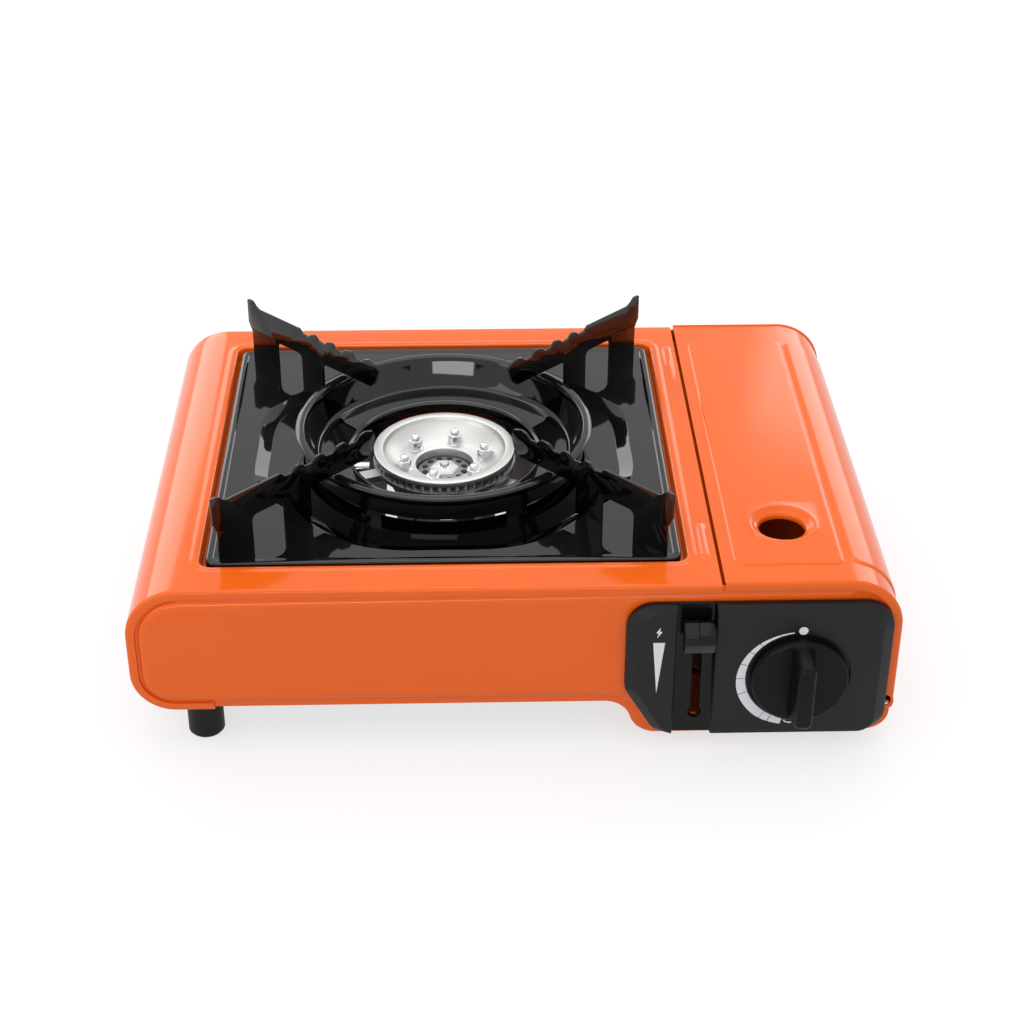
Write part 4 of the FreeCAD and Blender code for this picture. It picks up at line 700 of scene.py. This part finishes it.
# Copies round an axis, made with geometry nodes


def round_tree():
    """A node tree that sets copies of a piece, drawn at +X, round a centre."""
    tree = bpy.data.node_groups.new("copies_round_axis", "GeometryNodeTree")
    sockets = (("Geometry", "NodeSocketGeometry"), ("Count", "NodeSocketInt"),
               ("Radius", "NodeSocketFloat"), ("Start", "NodeSocketFloat"),
               ("Centre", "NodeSocketVector"), ("Material", "NodeSocketMaterial"))
    for name, kind in sockets:
        tree.interface.new_socket(name, in_out="INPUT", socket_type=kind)
    tree.interface.new_socket("Geometry", in_out="OUTPUT", socket_type="NodeSocketGeometry")
    nodes, links = tree.nodes, tree.links
    given = nodes.new("NodeGroupInput")
    ring = nodes.new("GeometryNodeMeshCircle")
    turn = nodes.new("GeometryNodeTransform")
    spin = nodes.new("ShaderNodeCombineXYZ")
    where = nodes.new("GeometryNodeInputPosition")
    align = nodes.new("FunctionNodeAlignRotationToVector")
    align.axis = "X"
    align.pivot_axis = "Z"
    copies = nodes.new("GeometryNodeInstanceOnPoints")
    shift = nodes.new("GeometryNodeTransform")
    real = nodes.new("GeometryNodeRealizeInstances")
    coat = nodes.new("GeometryNodeSetMaterial")
    result = nodes.new("NodeGroupOutput")
    for source, out, target, into in (
            (given, "Count", ring, "Vertices"), (given, "Radius", ring, "Radius"),
            (given, "Start", spin, "Z"), (ring, "Mesh", turn, "Geometry"),
            (spin, "Vector", turn, "Rotation"), (turn, "Geometry", copies, "Points"),
            (given, "Geometry", copies, "Instance"), (where, "Position", align, "Vector"),
            (align, "Rotation", copies, "Rotation"), (copies, "Instances", shift, "Geometry"),
            (given, "Centre", shift, "Translation"), (shift, "Geometry", real, "Geometry"),
            (real, "Geometry", coat, "Geometry"), (given, "Material", coat, "Material"),
            (coat, "Geometry", result, "Geometry")):
        links.new(source.outputs[out], target.inputs[into])
    return tree


def copies_round(name, bm, count, radius, start, centre, slot, body="root", nodes=(),
                 angle=35.0):
    """Copies of bm round a vertical axis through centre, as one plain mesh."""
    tree = bpy.data.node_groups.get("copies_round_axis") or round_tree()
    tidy(bm)
    piece = make_object(name, bm, finish(slot))
    modifier = piece.modifiers.new("copies", "NODES")
    modifier.node_group = tree
    values = {"Count": count, "Radius": radius * MM, "Start": math.radians(start),
              "Centre": [value * MM for value in centre], "Material": finish(slot)}
    for item in tree.interface.items_tree:
        if item.in_out == "INPUT" and item.name in values:
            modifier[item.identifier] = values[item.name]
    bake(piece)
    return settle(piece, slot, body, nodes, angle)


def build_burner():
    s = sizes()
    radius = mm(s.burner_radius)
    centre = (BURNER_X, MIDDLE, CAP_TOP)
    bm = bmesh.new()
    profile = [(radius - 3.4, -7.0), (radius - 0.9, -7.0), (radius - 0.4, -6.6),
               (radius - 0.4, -5.9), (radius - 2.4, -5.8), (radius - 2.4, -2.5),
               (radius, -2.4), (radius, -0.7), (radius - 0.25, -0.2), (radius - 0.8, 0.0),
               (radius - 3.9, 0.0), (radius - 4.4, -0.2), (radius - 4.7, -0.7),
               (radius - 5.0, -1.6), (radius - 5.8, -2.5), (radius - 8.0, -4.4),
               (radius - 11.0, -6.5), (radius - 14.0, -8.1), (radius - 16.5, -DISH),
               (14.7, -DISH), (14.1, -DISH - 0.3), (13.9, -DISH - 0.9), (13.9, -DISH - 5.0),
               (15.2, -DISH - 5.0), (15.2, -DISH - 1.8), (radius - 12.0, -DISH - 0.6),
               (radius - 5.4, -4.6), (radius - 3.4, -7.0)]
    turn_profile(bm, profile, centre, 160)
    solid("cap_turned", bm, finish("burner_alloy"), "burner_alloy", nodes=["burner_cap"])
    tooth = bmesh.new()
    width = math.tau * (radius - 1.0) / s.ports - 1.9
    slab(tooth, rectangle(0, 0, 2.0, width, 0.4), flat_place, -6.0, -2.3, 0.12, 2)
    copies_round("port_teeth", tooth, s.ports, radius - 1.7, 0.0, centre, "plain_steel")
    post = bmesh.new()
    hexagon = [(x, y, 0.25) for x, y in circle((0, 0), 3.5, 6)]
    slab(post, hexagon, flat_place, -0.4, 4.9, 0.3, 2)
    dome = [(2.2, 4.5), (2.2, 6.0), (2.0, 6.7), (1.5, 7.2), (0.8, 7.5), (0.02, 7.6)]
    turn_profile(post, dome, (0, 0, 0), 16)
    washer = [(0.5, 0.0), (4.1, 0.0), (4.1, 0.35), (3.9, 0.5), (0.5, 0.5)]
    turn_profile(post, washer, (0, 0, 0), 24)
    copies_round("cap_nuts", post, s.posts, 20.0, 15.0, (BURNER_X, MIDDLE, CAP_TOP - DISH),
                 "bright_steel", nodes=["burner_bolts"])
    core = bmesh.new()
    disc = [(5.0, -12.0), (7.2, -12.2), (12.9, -13.2), (13.3, -13.6), (13.3, -16.0),
            (5.0, -16.0), (5.0, -12.0)]
    turn_profile(core, disc, centre, 64)
    solid("core_disc", core, finish("plain_steel"), "burner_alloy", nodes=["burner_core"])
    hub = bmesh.new()
    turn_profile(hub, [(0.02, -8.6), (1.9, -8.7), (2.3, -9.2), (2.3, -10.6), (3.4, -10.9),
                       (6.6, -11.2), (7.3, -11.9), (7.4, -12.8), (0.02, -12.8)], centre, 6)
    solid("core_hub", hub, finish("bright_steel"), "bright_steel")
    # Painted shade: flat dark discs on the core where its holes are, standing for the shade inside
    # them.
    hole_shade_disc = bmesh.new()
    turn_profile(hole_shade_disc, [(0.02, 0.1), (1.5, 0.12), (1.5, -1.2), (0.02, -1.2)], (0, 0, 0), 16)
    copies_round("core_holes", hole_shade_disc, 12, 9.6, 15.0, (BURNER_X, MIDDLE, CAP_TOP - 12.5),
                 "control_black")
    rod = bmesh.new()
    rings = []
    for step in range(13):
        for radius, along in ((2.7, 0.0), (3.0, 0.25), (3.0, 0.75), (2.7, 1.0)):
            rings.append([(-36.0 - step - along, y, z) for y, z in circle((0, 0), radius, 20)])
    loft(rod, rings, first=True, last=True)
    bmesh.ops.transform(rod, matrix=Matrix.Translation((BURNER_X, MIDDLE - 2.0, 74.0)),
                        verts=rod.verts)
    solid("supply_rod", rod, finish("bright_steel"), "burner_alloy")


# Controls


def fascia_outline(side, top, foot, depth):
    """Edge of the control panel, drawn in by its sides, its top and its foot."""
    left, right = PANEL_EDGES[0] + side, PANEL_EDGES[1] - side
    low, high = PANEL_EDGES[2] + foot, PANEL_EDGES[3] - top
    corners = [(left + 14.0, low, 8.0), (right, low, 10.0 - 0.5 * side),
               (right, high, 13.0 - 0.5 * side), (left, high, 12.0 - 0.5 * side),
               (left, PANEL_EDGES[2] + 24.0, 9.0)]
    return [(p.x, depth, p.y) for p in round_off(corners, 0.0, 10)]


def slot_tools():
    """Cutters for the lever's slot and the round hole at its foot."""
    slot = bmesh.new()
    slab(slot, rectangle(LEVER[0] + 0.5, 42.0, 4.2, 49.0, 0.5), front_place,
         PANEL_FACE - 2, FRONT + 2, 0.1)
    return [slot, drilled(LEVER[0] + 0.5, KEYHOLE_Z, 3.1, PANEL_FACE - 2, FRONT + 2)]


def build_fascia():
    back = FRONT - 0.3
    rings = [fascia_outline(side, top, foot, depth) for side, top, foot, depth in (
        (0.0, 0.0, 0.0, back), (0.0, 0.0, 0.0, PANEL_FACE + 2.9),
        (0.15, 0.08, 0.0, PANEL_FACE + 2.65), (0.5, 0.3, 0.0, PANEL_FACE + 2.4),
        (4.6, 2.35, 0.2, PANEL_FACE + 0.25), (4.9, 2.55, 0.35, PANEL_FACE + 0.08),
        (5.3, 2.9, 0.7, PANEL_FACE))]
    bm = bmesh.new()
    loft(bm, rings, first=True, last=True)
    tidy(bm)
    piece = make_object("control_panel", bm, finish("control_black"))
    channel = bmesh.new()
    rings = []
    for z, deep in ((0.0, 2.8), (14.0, 2.9), (26.0, 3.3), (38.0, 4.0), (48.0, 4.8), (56.0, 5.3),
                    (86.0, 5.3)):
        section = [(-9.6, -1.0), (-9.0, 0.2), (-8.6, 0.7), (-8.6, deep - 0.6), (-8.0, deep),
                   (8.0, deep), (8.6, deep - 0.6), (8.6, 0.7), (9.0, 0.2), (9.6, -1.0)]
        rings.append([(LEVER[0] - 0.9 + x, PANEL_FACE + y, z) for x, y in section])
    loft(channel, rings, first=True, last=True)
    # Painted shade: a sheet of the darker knob plastic over the channel's walls and floor, where
    # the channel lies in shade.
    painted_shade_sheet = bmesh.new()
    loft(painted_shade_sheet, [[(x, depth - 0.12, min(max(z, 8.8), 76.0)) for x, depth, z in ring[2:8]]
                 for ring in rings], closed=False)
    groove = bmesh.new()
    rings = []
    for radius, depth in ((21.2, -2.0), (21.2, 1.6), (22.9, 1.6), (22.9, -2.0), (21.2, -2.0)):
        rings.append([(x, PANEL_FACE + depth, z)
                      for x, z in circle((KNOB_X, KNOB_Z), radius, 72)])
    loft(groove, rings)
    carve(piece, [channel, *slot_tools(),
                  drilled(KNOB_X, KNOB_Z, 3.3, PANEL_FACE - 2, FRONT + 2), groove])
    settle(piece, "control_black", "root", ["fascia"], 25.0)
    # The painted shade sheet is cut for the lever's slot, like the panel.
    painted_shade_piece = sheet("channel_liner", painted_shade_sheet, finish("lever_black"), "control_black", 0.1, keep=True)
    carve(painted_shade_piece, slot_tools())
    settle(painted_shade_piece, "control_black", "root", (), 40.0)


def flat_mark(name, outlines):
    """Print on the control panel: thin shapes from (x, z) outlines."""
    bm = bmesh.new()
    for outline in outlines:
        area = sum(a[0] * b[1] - b[0] * a[1] for a, b in zip(outline, outline[1:] + outline[:1]))
        ring = outline if area > 0 else list(reversed(outline))
        loft(bm, [[(x, PANEL_FACE + depth, z) for x, z in ring] for depth in (0.05, -0.05)],
             first=True, last=True)
    solid(name, bm, finish("print_white"), "control_black")


def arc_band(start, end, inner, outer, steps=8):
    """A curved band round the knob; inner and outer give radii for an angle in degrees."""
    angles = [start + (end - start) * step / steps for step in range(steps + 1)]
    near = [(KNOB_X + inner(a) * math.cos(math.radians(a)),
             KNOB_Z + inner(a) * math.sin(math.radians(a))) for a in angles]
    far = [(KNOB_X + outer(a) * math.cos(math.radians(a)),
            KNOB_Z + outer(a) * math.sin(math.radians(a))) for a in reversed(angles)]
    return near + far


def build_marks():
    def inner(angle):
        return 23.6 + 0.2 * blend(100, 150, angle)

    def outer(angle):
        thick = 0.5 + 3.9 * blend(92, 205, angle) - 1.2 * blend(225, 262, angle)
        return inner(angle) + thick

    bands = []
    stops = (99, 114, 124, 136, 149, 165, 182, 200, 218, 234, 243, 257)
    gaps = (0.4, 0.4, 0.6, 0.6, 0.6, 0.6, 0.7, 0.0, 0.6, 0.7, 1.4)
    for start, end, gap in zip(stops, stops[1:], gaps):
        bands.append(arc_band(start, end - gap, inner, outer))
    dot = circle((KNOB_X + 0.2, KNOB_Z + 24.6), 2.05, 24)
    foot = [(KNOB_X - 5.4, 15.6), (KNOB_X - 4.6, 14.6), (KNOB_X - 2.6, 14.0),
            (KNOB_X - 1.4, 14.2), (KNOB_X - 1.6, 14.8), (KNOB_X - 2.8, 14.7),
            (KNOB_X - 4.2, 15.1), (KNOB_X - 4.9, 16.0)]
    flat_mark("dial_marks", bands + [dot, foot])
    wedge = [(59.8, PLATE - 25.8), (65.0, PLATE - 25.8), (62.2, PLATE - 53.2)]
    spark = [(62.9, PLATE - 17.6), (60.9, PLATE - 20.6), (62.0, PLATE - 20.8),
             (61.4, PLATE - 23.3), (63.7, PLATE - 19.9), (62.5, PLATE - 19.8)]
    flat_mark("lever_marks", [list(reversed(wedge)), spark])


def build_knob():
    s = sizes()
    radius = mm(s.knob_radius)
    base = PANEL_FACE - 0.4
    bm = bmesh.new()
    rings = []
    for reach, depth in ((4.0, 0.0), (radius - 0.6, 0.0), (radius, -0.5), (radius, -3.4),
                         (radius - 0.35, -4.2), (radius - 1.1, -4.6), (radius - 2.0, -4.6),
                         (2.0, -4.6)):
        rings.append([(x, base + depth, z) for x, z in circle((KNOB_X, KNOB_Z), reach, 96)])
    loft(bm, rings, first=True, last=True)
    rings = []
    for inset, depth in ((-1.0, -4.2), (-0.5, -4.7), (-0.15, -5.6), (0.0, -7.0), (0.75, -18.4),
                         (1.0, -19.3), (1.6, -19.85), (2.4, -20.1)):
        out = (-4.2 - depth) / 15.9
        low, high = KNOB_Z - 19.6 + 5.0 * out, KNOB_Z + 20.4 - 1.6 * out
        grip = rectangle(KNOB_X, (low + high) / 2, 9.3, high - low, 3.4)
        rings.append([(p.x, base + depth, p.y) for p in round_off(grip, inset, 8)])
    loft(bm, rings, first=True, last=True)
    solid("gas_dial", bm, finish("knob_black"), "knob_black", "knob", ["control_knob"], 40.0)


def build_lever():
    tilt = math.radians(LEVER_TILT)

    def place(u, v, depth):
        return (LEVER[0] + depth, LEVER[1] + u * math.cos(tilt) + v * math.sin(tilt),
                LEVER[2] - u * math.sin(tilt) + v * math.cos(tilt))

    corners = [(-94.3, -6.5, 1.2), (-89.3, -6.5, 0.6), (-89.3, 7.5, 0.8), (-92.0, 7.2, 1.6),
               (-98.3, 3.2, 1.2), (-98.3, -1.0, 1.6)]
    bm = bmesh.new()
    slab(bm, corners, place, -6.8, 6.8, 0.7, 5)
    tidy(bm)
    piece = make_object("lever_grip", bm, finish("lever_black"))
    split = bmesh.new()
    slab(split, rectangle(-94.0, 6.5, 14.0, 9.0, 0.3), place, -0.5, -0.15, 0.05, 1)
    carve(piece, [split])
    settle(piece, "lever_black", "lever", ["lever_knob"], 40.0)


# Finishes


FINISHES = {
    "orange_enamel": ("orange", 0.0, 0.12, 420.0, 0.012, 0.3),
    "black_enamel": ("black", 0.0, 0.045, 160.0, 0.004, 0.5),
    "plain_steel": ("steel", 1.0, 0.45, 900.0, 0.02, 0.5),
    "bright_steel": ("bright", 1.0, 0.2, 900.0, 0.01, 0.5),
    "burner_alloy": ("alloy", 1.0, 0.42, 1400.0, 0.02, 0.5),
    "control_black": ("plastic", 0.0, 0.42, 3600.0, 0.05, 0.25),
    "knob_black": ("knob", 0.0, 0.36, 3600.0, 0.04, 0.13),
    "lever_black": ("knob", 0.0, 0.16, 2600.0, 0.02, 0.2),
    "brass": ("brass", 1.0, 0.25, 900.0, 0.02, 0.5),
    "foot_rubber": ("rubber", 0.0, 0.55, 2600.0, 0.06, 0.2),
    "seal_rubber": ("rubber", 0.0, 0.5, 2600.0, 0.05, 0.3),
    "ceramic": ("print_white", 0.0, 0.3, 900.0, 0.01, 0.5),
    "wire_sleeve": ("plastic", 0.0, 0.4, 1800.0, 0.02, 0.3),
    "print_white": ("print_white", 0.0, 0.5, 2400.0, 0.01, 0.3),
}


def finish(name):
    """The procedural material of a slot, made once."""
    material = bpy.data.materials.get("stove_" + name)
    if material:
        return material
    colour, metal, rough, grain, relief, gleam = FINISHES[name]
    base = tuple(getattr(colours(), colour))
    material = bpy.data.materials.new("stove_" + name)
    material.use_nodes = True
    nodes, links = material.node_tree.nodes, material.node_tree.links
    shader = nodes["Principled BSDF"]
    shader.inputs["Metallic"].default_value = metal
    shader.inputs["Specular IOR Level"].default_value = gleam
    where = nodes.new("ShaderNodeTexCoord")
    cloud = nodes.new("ShaderNodeTexNoise")
    cloud.inputs["Scale"].default_value = 22.0
    cloud.inputs["Detail"].default_value = 4.0
    links.new(where.outputs["Object"], cloud.inputs["Vector"])
    mix = nodes.new("ShaderNodeMixRGB")
    mix.inputs["Color1"].default_value = (*[value * 0.96 for value in base], 1.0)
    mix.inputs["Color2"].default_value = (*[min(value * 1.04, 1.0) for value in base], 1.0)
    links.new(cloud.outputs["Fac"], mix.inputs["Fac"])
    links.new(mix.outputs["Color"], shader.inputs["Base Color"])
    fine = nodes.new("ShaderNodeTexNoise")
    fine.inputs["Scale"].default_value = grain
    fine.inputs["Detail"].default_value = 2.0
    links.new(where.outputs["Object"], fine.inputs["Vector"])
    spread = nodes.new("ShaderNodeMapRange")
    spread.inputs["To Min"].default_value = rough * 0.85
    spread.inputs["To Max"].default_value = rough * 1.15
    links.new(cloud.outputs["Fac"], spread.inputs["Value"])
    links.new(spread.outputs["Result"], shader.inputs["Roughness"])
    bump = nodes.new("ShaderNodeBump")
    bump.inputs["Strength"].default_value = relief * 4.0
    bump.inputs["Distance"].default_value = 0.0002
    links.new(fine.outputs["Fac"], bump.inputs["Height"])
    links.new(bump.outputs["Normal"], shader.inputs["Normal"])
    return material


def dress_nodes():
    """Give every CAD node that stays in sight the finish of its slot."""
    for entry in frame["record"]["subparts"]:
        piece = frame["nodes"][entry["node"]]
        piece.data.materials.clear()
        piece.data.materials.append(finish(entry["material_slot"]))


# Stage


def look_at_photo():
    """The photograph's camera: in front, a little left and about 32 degrees above."""
    pitch, yaw, roll = math.radians(-32.31), math.radians(1.62), math.radians(0.18)
    ahead = Vector((math.sin(yaw) * math.cos(pitch), math.cos(yaw) * math.cos(pitch),
                    math.sin(pitch)))
    right = Vector((math.cos(yaw), -math.sin(yaw), 0.0))
    up = right.cross(ahead)
    across = math.cos(roll) * right + math.sin(roll) * up
    above = -math.sin(roll) * right + math.cos(roll) * up
    turn = Matrix((across, above, -ahead)).transposed().to_4x4()
    lens = bpy.data.cameras.new("photo_camera")
    lens.sensor_width = 36.0
    lens.sensor_fit = "HORIZONTAL"
    lens.lens = 70.77
    lens.clip_start = 0.01
    lens.clip_end = 50.0
    camera = bpy.data.objects.new("photo_camera", lens)
    camera.matrix_world = Matrix.Translation(Vector((-21.9, -823.4, 575.6)) * MM) @ turn
    bpy.context.scene.collection.objects.link(camera)
    bpy.context.scene.camera = camera


def lamp(name, place, aim, size, power, shape="RECTANGLE", size_y=None):
    light = bpy.data.lights.new(name, "AREA")
    light.shape = shape
    light.size = size
    if size_y:
        light.size_y = size_y
    light.energy = power
    piece = bpy.data.objects.new(name, light)
    piece.location = place
    piece.rotation_euler = (Vector(aim) - Vector(place)).to_track_quat("-Z", "Y").to_euler()
    bpy.context.scene.collection.objects.link(piece)


def white_seen(nodes, links, shade_input, light_strength, seen=1.0):
    """A strength that is seen for camera, glossy and transmission rays, else light_strength."""
    path = nodes.new("ShaderNodeLightPath")
    first = nodes.new("ShaderNodeMath")
    first.operation = "MAXIMUM"
    second = nodes.new("ShaderNodeMath")
    second.operation = "MAXIMUM"
    pick = nodes.new("ShaderNodeMix")
    pick.data_type = "FLOAT"
    pick.inputs[2].default_value = light_strength
    pick.inputs[3].default_value = seen
    links.new(path.outputs["Is Camera Ray"], first.inputs[0])
    links.new(path.outputs["Is Glossy Ray"], first.inputs[1])
    links.new(first.outputs[0], second.inputs[0])
    links.new(path.outputs["Is Transmission Ray"], second.inputs[1])
    links.new(second.outputs[0], pick.inputs[0])
    links.new(pick.outputs[0], shade_input)


def build_stage():
    scene = bpy.context.scene
    scene.view_settings.view_transform = "Standard"
    world = bpy.data.worlds.new("studio")
    scene.world = world
    world.use_nodes = True
    sky = world.node_tree.nodes["Background"]
    sky.inputs["Color"].default_value = (1.0, 1.0, 1.0, 1.0)
    white_seen(world.node_tree.nodes, world.node_tree.links, sky.inputs["Strength"], 0.82)
    floor_material = bpy.data.materials.new("studio_floor")
    floor_material.use_nodes = True
    shader = floor_material.node_tree.nodes["Principled BSDF"]
    shader.inputs["Base Color"].default_value = (0.34, 0.34, 0.34, 1.0)
    shader.inputs["Roughness"].default_value = 0.6
    shader.inputs["Specular IOR Level"].default_value = 0.0
    shader.inputs["Emission Color"].default_value = (1.0, 1.0, 1.0, 1.0)
    white_seen(floor_material.node_tree.nodes, floor_material.node_tree.links,
               shader.inputs["Emission Strength"], 0.0, 0.66)
    bm = bmesh.new()
    bmesh.ops.create_grid(bm, x_segments=8, y_segments=8, size=6.0)
    floor = make_object("floor", bm, floor_material)
    lamp("top_light", (-0.15, 0.1, 1.9), (0, 0, 0), 2.0, 7.0, size_y=1.4)
    lamp("strip_light", (0.0, 0.95, 1.45), (0, 0, 0), 1.8, 3.5, size_y=0.2)
    lamp("left_light", (-1.7, -0.9, 1.2), (0, 0, 0.05), 1.0, 6.0, size_y=1.2)
    lamp("front_light", (-0.3, -1.9, 0.5), (0, 0, 0.08), 1.2, 7.0, size_y=0.3)
    lamp("rear_left_light", (-1.05, 1.9, 0.78), (0, 0, 0.08), 1.2, 8.0, size_y=1.0)
    lamp("rear_right_light", (1.05, 1.9, 0.78), (0, 0, 0.08), 1.2, 8.0, size_y=1.0)
    look_at_photo()


# Operators


def operator(name, label, note, action):
    """An operator that runs one builder."""
    def execute(self, context):
        action()
        return {"FINISHED"}

    return type(f"STOVE_OT_{name}", (bpy.types.Operator,),
                {"bl_idname": f"stove.{name}", "bl_label": label, "__doc__": note,
                 "bl_options": {"REGISTER", "UNDO"}, "execute": execute})


STEPS = [
    operator("stage", "Stage", "Floor, light and the photograph's camera", build_stage),
    operator("finishes", "Finishes", "Finish of every part that stays in sight", dress_nodes),
    operator("body", "Body skin", "Top plate, left side, opening and ribs", build_wrap),
    operator("lid", "Lid", "Lid over the cartridge bay", build_lid),
    operator("front", "Front", "Front panel with its raised field", build_front),
    operator("tray", "Tray", "Enamelled drip tray", build_tray),
    operator("ring", "Wind ring", "Ring round the burner", build_ring),
    operator("arms", "Pan supports", "Four notched sheet arms", build_arms),
    operator("burner", "Burner", "Cap, ports, nuts and core", build_burner),
    operator("fascia", "Control panel", "Moulded control panel", build_fascia),
    operator("marks", "Marks", "Printed dial and lever marks", build_marks),
    operator("knob", "Knob", "Gas and ignition knob", build_knob),
    operator("lever", "Lever", "Grip of the cartridge lever", build_lever),
]


class STOVE_PT_panel(bpy.types.Panel):
    """Lists the builders and their sizes"""
    bl_idname = "STOVE_PT_panel"
    bl_label = "Cassette Stove"
    bl_space_type = "VIEW_3D"
    bl_region_type = "UI"
    bl_category = "Stove"

    def draw(self, context):
        for step in STEPS:
            self.layout.operator(step.bl_idname)
        for group in (context.scene.stove_sizes, context.scene.stove_colours):
            for name in group.__annotations__:
                self.layout.prop(group, name)


def register():
    for item in (StoveSizes, StoveColours, *STEPS, STOVE_PT_panel):
        bpy.utils.register_class(item)
    bpy.types.Scene.stove_sizes = PointerProperty(type=StoveSizes)
    bpy.types.Scene.stove_colours = PointerProperty(type=StoveColours)


def unregister():
    del bpy.types.Scene.stove_sizes
    del bpy.types.Scene.stove_colours
    for item in reversed((StoveSizes, StoveColours, *STEPS, STOVE_PT_panel)):
        bpy.utils.unregister_class(item)


def main():
    register()
    for step in STEPS:
        result = getattr(bpy.ops.stove, step.bl_idname.split(".")[1])()
        if result != {"FINISHED"}:
            raise RuntimeError(f"{step.bl_idname} did not finish")


if __name__ == "__main__":
    main()
